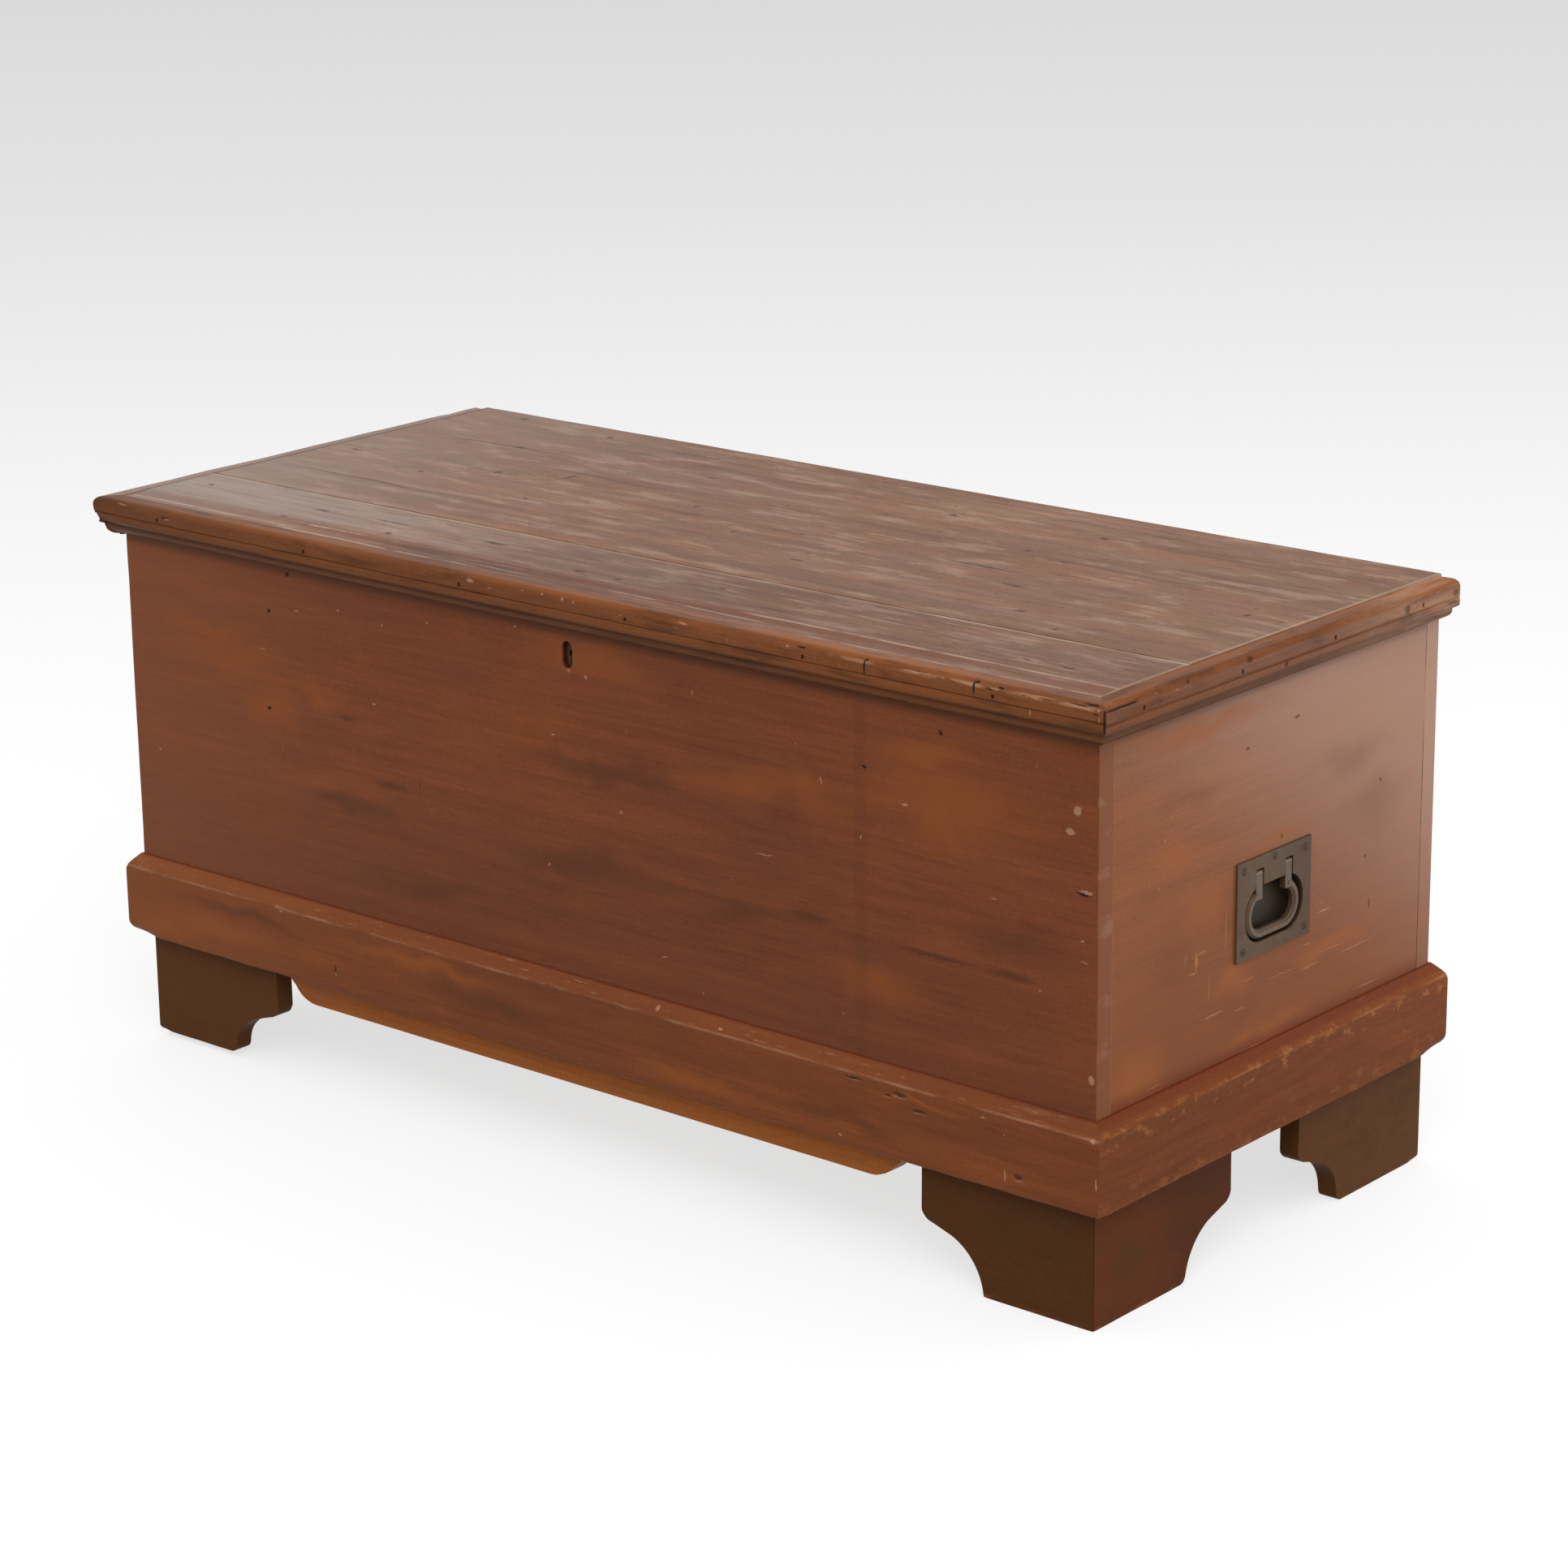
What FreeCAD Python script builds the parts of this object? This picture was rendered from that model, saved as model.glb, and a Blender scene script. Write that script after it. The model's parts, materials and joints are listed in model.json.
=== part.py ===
import FreeCAD, Part
import math
import os
import re
import Sketcher

# A nailed pine blanket chest on bracket feet, in millimetres.
# +X runs along the chest, -Y is its front, +Z is up. The origin is on the floor, under the
# middle of the whole chest.

SIZES = {
    # case
    "case_length": 1200.0,
    "case_depth": 519.0,
    "case_height": 434.0,
    "board_thickness": 20.5,
    "end_thickness": 20.5,
    "bottom_thickness": 18.0,
    "bottom_board_gap": 0.6,
    # keyhole through the front
    "keyhole_width": 12.5,
    "keyhole_height": 26.0,
    "key_drop": 43.5,
    # base moulding round the case
    "skirt_proud": 13.5,
    "skirt_height": 82.5,
    "skirt_face_height": 70.8,
    "skirt_lip": 2.0,
    "skirt_round": 3.0,
    # bracket feet and the apron between them
    "foot_height": 113.5,
    "foot_setback": 4.0,
    "foot_thickness": 20.0,
    "right_face_width": 188.5,
    "left_face_width": 181.0,
    "foot_side_width": 204.5,
    "rear_face_width": 200.0,
    "rear_face_slope": 70.0,
    "scroll_run": 69.5,
    "scroll_lip": 68.0,
    "scroll_shoulder": 14.0,
    "scroll_shoulder_run": 11.9,
    "scroll_hump_run": 34.0,
    "scroll_hump_height": 49.0,
    "scroll_hollow": 58.0,
    "apron_drop": 29.5,
    "apron_slope": 58.0,
    "apron_hollow": 70.0,
    "block_width": 42.0,
    "block_chamfer": 12.0,
    "block_lift": 6.0,
    # lid
    "lid_thickness": 21.7,
    "lid_seat_gap": 0.4,
    "lid_overhang": 1.0,
    "lid_back_inset": 0.6,
    "lid_front_width": 126.0,
    "lid_board_gap": 0.5,
    "lid_arris": 1.2,
    # moulding planted on the lid's edges
    "moulding_proud": 21.6,
    "moulding_drop": 41.0,
    "moulding_top_step": 1.0,
    "moulding_nose": 7.0,
    "moulding_nose_flat": 6.0,
    "moulding_quirk": 1.4,
    "moulding_quirk_height": 2.2,
    "moulding_lower_set": 0.6,
    "moulding_lower_flat": 5.2,
    "moulding_lower_round": 5.0,
    "moulding_ovolo": 9.5,
    "moulding_fillet": 2.4,
    "moulding_low_edge": 1.4,
    # butt hinges
    "hinge_spread": 820.0,
    "hinge_length": 76.0,
    "hinge_reach": 18.5,
    "leaf_thickness": 2.2,
    "knuckle_radius": 4.2,
    "knuckle_gap": 0.3,
    "knuckle_clearance": 0.5,
    "hinge_pin_radius": 2.1,
    "leaf_overlap": 1.0,
    "pin_clearance": 0.05,
    "hinge_screw_spread": 50.0,
    "hinge_screw_inset": 10.5,
    # flat-headed screws
    "screw_head": 3.3,
    "screw_shank": 1.7,
    "screw_sink": 1.6,
    "screw_length": 16.0,
    "screw_clearance": 0.1,
    # cut nails
    "nail_shank": 3.0,
    "nail_head": 5.5,
    "nail_head_thickness": 1.4,
    "nail_clearance": 0.1,
    "case_nail_length": 50.0,
    "case_nail_margin": 45.0,
    "skirt_nail_margin": 60.0,
    "moulding_nail_left": 72.0,
    "moulding_nail_right": 95.0,
    "moulding_end_nail_front": 33.0,
    "moulding_end_nail_back": 62.0,
    "moulding_nail_set": 1.6,
    "moulding_nail_drop": 11.2,
    "skirt_nail_length": 28.0,
    "moulding_nail_length": 40.0,
    # flush drop handles
    "handle_height": 213.5,
    "handle_offset": 2.0,
    "plate_width": 113.5,
    "plate_height": 91.2,
    "plate_thickness": 2.3,
    "window_width": 90.0,
    "window_height": 52.0,
    "window_drop": 27.4,
    "window_radius": 25.0,
    "slot_spread": 45.0,
    "slot_width": 12.2,
    "slot_drop": 11.5,
    "handle_screw_side": 9.5,
    "handle_screw_top": 8.5,
    "handle_screw_middle": 5.4,
    "pan_depth": 14.0,
    "pan_wall": 1.4,
    "pan_margin": 2.2,
    "pan_head_width": 73.0,
    "recess_clearance": 0.4,
    "lug_width": 4.0,
    "lug_gap": 1.9,
    "lug_depth": 6.0,
    "lug_height": 8.6,
    "pivot_radius": 1.8,
    "pivot_depth": 2.2,
    "eye_radius": 3.9,
    "eye_clearance": 1.2,
    "arm_width": 9.6,
    "arm_thickness": 5.9,
    "ring_width": 73.0,
    "ring_height": 38.0,
    "ring_radius": 4.3,
    "ring_chamfer": 2.5,
    "ring_clearance": 1.6,
    # mortised chest lock
    "lock_plate_width": 84.0,
    "lock_plate_height": 66.0,
    "lock_plate_thickness": 2.2,
    "selvedge_depth": 14.0,
    "lock_screw_inset": 6.0,
    "lock_screw_length": 10.0,
    "cap_width": 60.0,
    "cap_height": 54.0,
    "cap_depth": 11.3,
    "cap_wall": 1.2,
    "lock_clearance": 0.3,
    "key_eye": 3.6,
    "key_slot_width": 3.4,
    "key_slot_drop": 10.0,
    "key_post_radius": 1.5,
    "bolt_thickness": 4.2,
    "bolt_height": 4.4,
    "bolt_reach": 11.0,
    "bolt_tail": 26.0,
    "bolt_body_width": 25.5,
    "bolt_body_right": 4.0,
    "bolt_body_height": 24.0,
    "bolt_travel": 8.0,
    "bolt_talon_width": 6.0,
    "bolt_talon_depth": 6.0,
    "stump_radius": 2.0,
    "stump_clearance": 0.08,
    "stump_drop": 20.0,
    # striking plate and staple under the lid
    "strike_width": 60.0,
    "strike_thickness": 2.0,
    "strike_screw_spread": 44.0,
    "staple_offset": 14.0,
    "staple_thickness": 3.2,
    "staple_width": 8.6,
    "staple_eye_width": 5.4,
    "staple_eye_height": 5.8,
    "staple_eye_drop": 8.2,
    "staple_foot": 2.3,
    "staple_clearance": 0.8,
    # how far a mitre's cut runs past the piece
    "cut_margin": 1.0,
}

# Places that several pieces share.
RIM = "(foot_height + case_height)"
LID = f"({RIM} + lid_seat_gap)"
TOP = f"({LID} + lid_thickness)"
END = "(case_length / 2)"
FRONT = "(-case_depth / 2 + (moulding_proud - skirt_proud) / 2)"
BACK = "(case_depth / 2 + (moulding_proud - skirt_proud) / 2)"
INNER_FRONT = f"({FRONT} + board_thickness)"
LID_END = f"({END} + lid_overhang)"
LID_FRONT = f"({FRONT} - lid_overhang)"
LID_BACK = f"({BACK} - lid_back_inset)"
LID_JOINT = f"({LID_FRONT} + lid_front_width)"

# How many of each there are, and the half angle of a screw's head in degrees.
KNUCKLES = 5
CASE_NAILS = 5
SKIRT_NAILS = 5
SKIRT_END_NAILS = 3
MOULDING_NAILS = 6
MOULDING_END_NAILS = 4
COUNTERSINK = 45

PLANES = {"X": ("YZ_Plane", 1), "Y": ("XZ_Plane", -1), "Z": ("XY_Plane", 1)}
NODES = []
CUTS = []

doc = FreeCAD.newDocument("blanket_chest")
sheet = doc.addObject("Spreadsheet::Sheet", "Sizes")
for row, (alias, number) in enumerate(SIZES.items(), start=1):
    sheet.set(f"A{row}", alias.replace("_", " "))
    sheet.set(f"B{row}", str(number))
    sheet.setAlias(f"B{row}", alias)
doc.recompute()


def sized(expression):
    """The expression with each size's name pointed at its cell."""
    return re.sub(r"[a-z]+(?:_[a-z]+)+", lambda word: "Sizes." + word.group(), expression)


def value(expression):
    """What an expression comes to now."""
    return float(sheet.evalExpression(sized(expression)))


def node(label):
    """A new, empty sub-part."""
    body = doc.addObject("PartDesign::Body", label)
    body.Label = label
    body.AllowCompound = True
    NODES.append(body)
    return body


def sketch_on(body, axis, level):
    """An empty sketch square to an axis, at a level along it."""
    role, normal = PLANES[axis]
    sketch = body.newObject("Sketcher::SketchObject", "Sketch")
    plane = next(item for item in body.Origin.OriginFeatures if item.Role == role)
    sketch.AttachmentSupport = [(plane, "")]
    sketch.MapMode = "FlatFace"
    sketch.setExpression(".AttachmentOffset.Base.z", sized(f"{normal} * ({level})"))
    return sketch


def hold_point(rules, edge, point, across, up):
    """Ties one point of an edge to its place. Rules are constraints with their expressions."""
    for kind, expression in (("DistanceX", across), ("DistanceY", up)):
        constraint = Sketcher.Constraint(kind, -1, 1, edge, point, value(expression))
        rules.append((constraint, expression))


def hold_radius(rules, edge, expression):
    rules.append((Sketcher.Constraint("Radius", edge, value(expression)), expression))


def apply_rules(sketch, rules):
    """Adds the gathered constraints and ties each value to its expression."""
    indexes = sketch.addConstraint([constraint for constraint, _ in rules])
    for index, (_, expression) in zip(indexes, rules):
        if expression:
            sketch.setExpression(f"Constraints[{index}]", sized(expression))


def arc_between(start, end, radius):
    """The short arc from start to end, turning left when the radius is above zero."""
    chord = end - start
    reach = math.sqrt(max(radius ** 2 - (chord.Length / 2) ** 2, 0.0))
    side = FreeCAD.Vector(-chord.y, chord.x, 0).normalize() * math.copysign(reach, radius)
    centre = (start + end) / 2 + side
    first, last = (start, end) if radius > 0 else (end, start)
    angles = [math.atan2(point.y - centre.y, point.x - centre.x) for point in (first, last)]
    circle = Part.Circle(centre, FreeCAD.Vector(0, 0, 1), abs(radius))
    return Part.ArcOfCircle(circle, angles[0], angles[1])


def draw_edge(sketch, rules, start, end, radius=None):
    """One line or arc; returns its index and the numbers of its two end points."""
    if radius is None:
        return sketch.addGeometry(Part.LineSegment(start, end)), 1, 2
    bulge = value(radius)
    edge = sketch.addGeometry(arc_between(start, end, bulge))
    hold_radius(rules, edge, f"abs({radius})")
    return (edge, 1, 2) if bulge > 0 else (edge, 2, 1)


def draw_outline(sketch, rules, corners):
    """Edges from corner to corner. A corner is (across, up), or (across, up, radius) where an
    arc leads to it, turning left for a radius above zero."""
    points = [FreeCAD.Vector(value(corner[0]), value(corner[1]), 0) for corner in corners]
    edges = [draw_edge(sketch, rules, points[i - 1], points[i], *corner[2:])
             for i, corner in enumerate(corners)]
    for i, (edge, _, tip) in enumerate(edges):
        follower, tail, _ = edges[(i + 1) % len(edges)]
        hold_point(rules, edge, tip, *corners[i][:2])
        rules.append((Sketcher.Constraint("Coincident", edge, tip, follower, tail), None))


def draw_disc(sketch, rules, across, up, radius):
    """A full circle."""
    centre = FreeCAD.Vector(value(across), value(up), 0)
    edge = sketch.addGeometry(Part.Circle(centre, FreeCAD.Vector(0, 0, 1), value(radius)))
    hold_point(rules, edge, 3, across, up)
    hold_radius(rules, edge, radius)


def prism(body, axis, start, length, shapes, cut=False, from_far=False, taper=0):
    """Adds or cuts what flat shapes sweep along an axis, from start over a length. A shape is a
    list of corners or a (across, up, radius) disc. They are drawn at the start, or at the far
    end, and narrow away from there by the taper in degrees."""
    sketch = sketch_on(body, axis, f"{start} + {length}" if from_far else start)
    rules = []
    for shape in shapes:
        if isinstance(shape, tuple):
            draw_disc(sketch, rules, *shape)
        else:
            draw_outline(sketch, rules, shape)
    apply_rules(sketch, rules)
    feature = body.newObject("PartDesign::Pocket" if cut else "PartDesign::Pad", "Prism")
    feature.Profile = sketch
    feature.setExpression("Length", sized(length))
    feature.TaperAngle = -taper
    with_normal = (PLANES[axis][1] > 0) != from_far
    feature.Reversed = with_normal if cut else not with_normal
    sketch.Visibility = False
    if cut:
        CUTS.append(feature)
    return feature


def box(low, high):
    """The outline of a rectangle between two corners."""
    return [(low[0], low[1]), (high[0], low[1]), (high[0], high[1]), (low[0], high[1])]


def square(across, up, width):
    """The outline of a square about its middle."""
    half = f"({width}) / 2"
    return box((f"{across} - {half}", f"{up} - {half}"), (f"{across} + {half}", f"{up} + {half}"))


def spread(low, high, count):
    """Evenly spaced places, the first at low and the last at high."""
    return [f"({low}) + (({high}) - ({low})) * {step} / {count - 1}" for step in range(count)]


def discs(radius, *places):
    """Discs of one radius at several places."""
    return [(across, up, radius) for across, up in places]


def place(body, across, along, up, turn=0):
    """Sets a sub-part down, turned about Z by whole degrees."""
    body.Placement = FreeCAD.Placement(FreeCAD.Vector(), FreeCAD.Rotation(turn, 0, 0))
    for letter, level in zip("xyz", (across, along, up)):
        body.setExpression(f".Placement.Base.{letter}", sized(level))


def screws(body, axis, face, inward, length, places):
    """Flat-headed screws sunk flush with a face, pointing along the axis or against it."""
    from_far = inward < 0
    head = face if inward > 0 else f"{face} - screw_sink"
    shank = face if inward > 0 else f"{face} - {length}"
    prism(body, axis, shank, length, discs("screw_shank", *places))
    prism(body, axis, head, "screw_sink", discs("screw_head", *places),
          from_far=from_far, taper=COUNTERSINK)


def screw_holes(body, axis, face, inward, length, places, heads=False):
    """The holes for such screws: countersunk in the piece that the heads sit in."""
    shank = face if inward > 0 else f"{face} - {length} - screw_clearance"
    prism(body, axis, shank, f"({length} + screw_clearance)",
          discs("(screw_shank + screw_clearance)", *places), cut=True)
    if heads:
        head = face if inward > 0 else f"{face} - screw_sink"
        prism(body, axis, head, "screw_sink",
              discs("(screw_head + screw_clearance)", *places),
              cut=True, from_far=inward < 0, taper=COUNTERSINK)


def nails(body, axis, face, inward, length, places):
    """Square cut nails driven flush with a face."""
    head = face if inward > 0 else f"{face} - nail_head_thickness"
    shank = face if inward > 0 else f"{face} - {length}"
    prism(body, axis, shank, length, [square(*spot, "nail_shank") for spot in places])
    prism(body, axis, head, "nail_head_thickness",
          [square(*spot, "nail_head") for spot in places])


def nail_holes(body, axis, face, inward, length, places, heads=False):
    """The holes for such nails, wider at the face in the piece that the heads sit in."""
    shank = face if inward > 0 else f"{face} - {length} - nail_clearance"
    prism(body, axis, shank, f"({length} + nail_clearance)",
          [square(*spot, "(nail_shank + 2 * nail_clearance)") for spot in places], cut=True)
    if heads:
        head = face if inward > 0 else f"{face} - nail_head_thickness"
        prism(body, axis, head, "nail_head_thickness",
              [square(*spot, "(nail_head + 2 * nail_clearance)") for spot in places], cut=True)


# --- nails: each list holds the places of a row, shared by the nails and their holes

CASE_NAIL_LEVELS = spread("foot_height + case_nail_margin", f"{RIM} - case_nail_margin",
                          CASE_NAILS)
SKIRT_NAIL_LEVEL = "(foot_height + skirt_face_height / 2)"
SKIRT_NAIL_SPOTS = [(across, SKIRT_NAIL_LEVEL) for across in
                    spread(f"-{END} + skirt_nail_margin", f"{END} - skirt_nail_margin",
                           SKIRT_NAILS)]
SKIRT_END_NAIL_SPOTS = [(along, SKIRT_NAIL_LEVEL) for along in
                        spread(f"{FRONT} + skirt_nail_margin", f"{BACK} - skirt_nail_margin",
                               SKIRT_END_NAILS)]
MOULDING_NAIL_LEVEL = f"({TOP} - moulding_nail_drop)"
MOULDING_NAIL_REACH = "(moulding_nail_length + moulding_nail_set)"
MOULDING_NAIL_SPOTS = [(across, MOULDING_NAIL_LEVEL) for across in
                       spread(f"-{END} + moulding_nail_left", f"{END} - moulding_nail_right",
                              MOULDING_NAILS)]
MOULDING_END_NAIL_SPOTS = [(along, MOULDING_NAIL_LEVEL) for along in
                           spread(f"{FRONT} + moulding_end_nail_front",
                                  f"{BACK} - moulding_end_nail_back", MOULDING_END_NAILS)]


def case_nail_spots(side):
    """The nails of one corner of the case: side is -1 for the left, 1 for the right."""
    across = f"{side} * ({END} - end_thickness / 2)"
    return [(across, level) for level in CASE_NAIL_LEVELS]


def make_case_nails():
    body = node("case_nails")
    spots = case_nail_spots(-1) + case_nail_spots(1)
    nails(body, "Y", FRONT, 1, "case_nail_length", spots)
    nails(body, "Y", BACK, -1, "case_nail_length", spots)


def make_skirt_nails():
    body = node("skirt_nails")
    nails(body, "Y", f"({FRONT} - skirt_proud)", 1, "skirt_nail_length", SKIRT_NAIL_SPOTS)
    nails(body, "Y", f"({BACK} + skirt_proud)", -1, "skirt_nail_length", SKIRT_NAIL_SPOTS)
    nails(body, "X", f"(-{END} - skirt_proud)", 1, "skirt_nail_length", SKIRT_END_NAIL_SPOTS)
    nails(body, "X", f"({END} + skirt_proud)", -1, "skirt_nail_length", SKIRT_END_NAIL_SPOTS)


def make_moulding_nails():
    """Headless brads, set below the moulding's face."""
    body = node("moulding_nails")
    outwards = "(moulding_proud - moulding_nail_set)"
    for axis, start, spots in (("Y", f"({FRONT} - {outwards})", MOULDING_NAIL_SPOTS),
                               ("X", f"(-{END} - {outwards})", MOULDING_END_NAIL_SPOTS),
                               ("X", f"({END} + {outwards} - moulding_nail_length)",
                                MOULDING_END_NAIL_SPOTS)):
        prism(body, axis, start, "moulding_nail_length",
              [square(*spot, "nail_shank") for spot in spots])


# --- case

def make_front_board():
    body = node("front_board")
    prism(body, "Y", FRONT, "board_thickness",
          [box((f"-{END}", "foot_height"), (END, RIM))])
    half = "keyhole_width / 2"
    low = f"({RIM} - key_drop - keyhole_height / 2 + {half})"
    high = f"({RIM} - key_drop + keyhole_height / 2 - {half})"
    keyhole = [(half, low, half), (half, high), ("0", f"{high} + {half}", half),
               (f"-{half}", high, half), (f"-{half}", low), ("0", f"{low} - {half}", half)]
    prism(body, "Y", FRONT, "board_thickness", [keyhole], cut=True)
    spare = "lock_clearance"
    prism(body, "Y", f"{INNER_FRONT} - lock_plate_thickness", "lock_plate_thickness",
          [box((f"-lock_plate_width / 2 - {spare}", f"{RIM} - lock_plate_height - {spare}"),
               (f"lock_plate_width / 2 + {spare}", RIM))], cut=True)
    deep = f"(lock_plate_thickness + cap_depth + {spare})"
    prism(body, "Y", f"{INNER_FRONT} - {deep}", deep,
          [box((f"-cap_width / 2 - {spare}", f"{RIM} - lock_plate_thickness - cap_height - {spare}"),
               (f"cap_width / 2 + {spare}", RIM))], cut=True)
    prism(body, "Z", f"{RIM} - lock_plate_thickness", "lock_plate_thickness",
          [box((f"-lock_plate_width / 2 - {spare}", f"{INNER_FRONT} - selvedge_depth - {spare}"),
               (f"lock_plate_width / 2 + {spare}", INNER_FRONT))], cut=True)
    screw_holes(body, "Y", INNER_FRONT, -1, "lock_screw_length", LOCK_SCREW_SPOTS)
    nail_holes(body, "Y", FRONT, 1, "case_nail_length",
               case_nail_spots(-1) + case_nail_spots(1), heads=True)
    nail_holes(body, "Y", f"({FRONT} - skirt_proud)", 1, "skirt_nail_length", SKIRT_NAIL_SPOTS)


def make_back_board():
    body = node("back_board")
    prism(body, "Y", f"{BACK} - board_thickness", "board_thickness",
          [box((f"-{END}", "foot_height"), (END, RIM))])
    for side in (-1, 1):
        middle = f"{side} * hinge_spread / 2"
        low, high = (f"{middle} {sign} (hinge_length / 2 + screw_clearance)" for sign in "-+")
        prism(body, "Z", f"{RIM} - leaf_thickness", "leaf_thickness",
              [box((low, f"{BACK} - hinge_reach - screw_clearance"), (high, BACK))], cut=True)
        prism(body, "Z", f"{RIM} - knuckle_radius - knuckle_clearance",
              "(knuckle_radius + knuckle_clearance)",
              [box((low, f"{BACK} - knuckle_radius - knuckle_clearance"), (high, BACK))], cut=True)
    screw_holes(body, "Z", RIM, -1, "screw_length", hinge_screw_spots())
    nail_holes(body, "Y", BACK, -1, "case_nail_length",
               case_nail_spots(-1) + case_nail_spots(1), heads=True)
    nail_holes(body, "Y", f"({BACK} + skirt_proud)", -1, "skirt_nail_length", SKIRT_NAIL_SPOTS)


def make_end_board(label, side):
    """side is -1 for the left end and 1 for the right end."""
    body = node(label)
    start = f"-{END}" if side < 0 else f"({END} - end_thickness)"
    outer = f"-{END}" if side < 0 else END
    prism(body, "X", start, "end_thickness",
          [box((INNER_FRONT, "foot_height"), (f"{BACK} - board_thickness", RIM))])
    depth = "(pan_depth + recess_clearance)"
    recess = pan_outline("recess_clearance", "handle_offset", "(foot_height + handle_height)")
    prism(body, "X", outer if side < 0 else f"{outer} - {depth}", depth, [recess], cut=True)
    spots = [(f"handle_offset + {across}", f"foot_height + handle_height + {up}")
             for across, up in HANDLE_SCREW_SPOTS]
    face = f"{side} * ({END} + plate_thickness)"
    screw_holes(body, "X", face, -side, "screw_length", spots)
    nail_holes(body, "Y", FRONT, 1, "case_nail_length", case_nail_spots(side))
    nail_holes(body, "Y", BACK, -1, "case_nail_length", case_nail_spots(side))
    nail_holes(body, "X", f"{side} * ({END} + skirt_proud)", -side, "skirt_nail_length",
               SKIRT_END_NAIL_SPOTS)


def make_bottom_boards():
    labels = ("bottom_board_front", "bottom_board_middle", "bottom_board_back")
    pitch = f"(case_depth - 2 * board_thickness + bottom_board_gap) / {len(labels)}"
    for number, label in enumerate(labels):
        low = f"({INNER_FRONT} + {number} * {pitch})"
        prism(node(label), "Z", "foot_height", "bottom_thickness",
              [box((f"-{END} + end_thickness", low),
                   (f"{END} - end_thickness", f"{low} + {pitch} - bottom_board_gap"))])


# --- base: a bevelled skirt on all four sides, mitred at the corners

def skirt_profile(face, out):
    """The skirt's section: face is the case's face and out is the way it stands proud, -1 or 1."""
    proud = f"{face} + {out} * skirt_proud"
    near = f"{face} + {out} * (skirt_proud - skirt_round)"
    corners = [(face, "foot_height"), (near, "foot_height"),
               (proud, "foot_height + skirt_round", f"{out} * skirt_round"),
               (proud, "foot_height + skirt_face_height"),
               (f"{face} + {out} * skirt_lip", "foot_height + skirt_height"),
               (face, "foot_height + skirt_height")]
    return corners


def mitre(body, across, along, turn_x, turn_y, reach, low, high, keep):
    """Cuts one mitred end. (across, along) is the inner corner; the outer corner lies reach
    away along (turn_x, turn_y); keep tells which of the two members stays."""
    outer = (f"{across} + {turn_x} * 2 * {reach}", f"{along} + {turn_y} * 2 * {reach}")
    other = (outer[0], along) if keep == "along_x" else (across, outer[1])
    prism(body, "Z", low, f"({high} - ({low}))", [[(across, along), outer, other]], cut=True)


def make_skirt():
    reach = "skirt_proud"
    span = ("foot_height - cut_margin", "(foot_height + skirt_height + cut_margin)")
    for label, face, out in (("skirt_front", FRONT, -1), ("skirt_back", BACK, 1)):
        body = node(label)
        prism(body, "X", f"-{END} - skirt_proud", "(case_length + 2 * skirt_proud)",
              [skirt_profile(face, out)])
        for side in (-1, 1):
            mitre(body, f"{side} * {END}", face, side, out, reach, *span, keep="along_x")
        nail_holes(body, "Y", f"({face} + {out} * skirt_proud)", -out, "skirt_nail_length",
                   SKIRT_NAIL_SPOTS, heads=True)
    for label, side in (("skirt_left", -1), ("skirt_right", 1)):
        body = node(label)
        face = f"{side} * {END}"
        prism(body, "Y", f"{FRONT} - skirt_proud", "(case_depth + 2 * skirt_proud)",
              [skirt_profile(face, side)])
        for along, out in ((FRONT, -1), (BACK, 1)):
            mitre(body, face, along, side, out, reach, *span, keep="along_y")
        nail_holes(body, "X", f"({face} + {side} * skirt_proud)", -side, "skirt_nail_length",
                   SKIRT_END_NAIL_SPOTS, heads=True)


# --- feet

FOOT_FRONT = f"({FRONT} + foot_setback)"
FOOT_BACK = BACK
FOOT_END = f"({END} - foot_setback)"


def scroll_outline(corner, away, width):
    """A bracket's outline: corner is its upright edge, and away, -1 or 1, the way the scroll runs
    from there: a straight lip, a rounded shoulder, a low hump and a deep hollow to the floor."""
    lip = f"{corner} + {away} * {width}"
    shoulder = f"{corner} + {away} * ({width} - scroll_shoulder_run)"
    hump = f"{corner} + {away} * ({width} - scroll_hump_run)"
    toe = f"{corner} + {away} * ({width} - scroll_run)"
    return [(corner, "0"), (corner, "foot_height"), (lip, "foot_height"), (lip, "scroll_lip"),
            (shoulder, "scroll_lip - scroll_shoulder_run", f"{-away} * scroll_shoulder"),
            (hump, "scroll_hump_height"),
            (toe, "0", f"{away} * scroll_hollow")]


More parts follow.
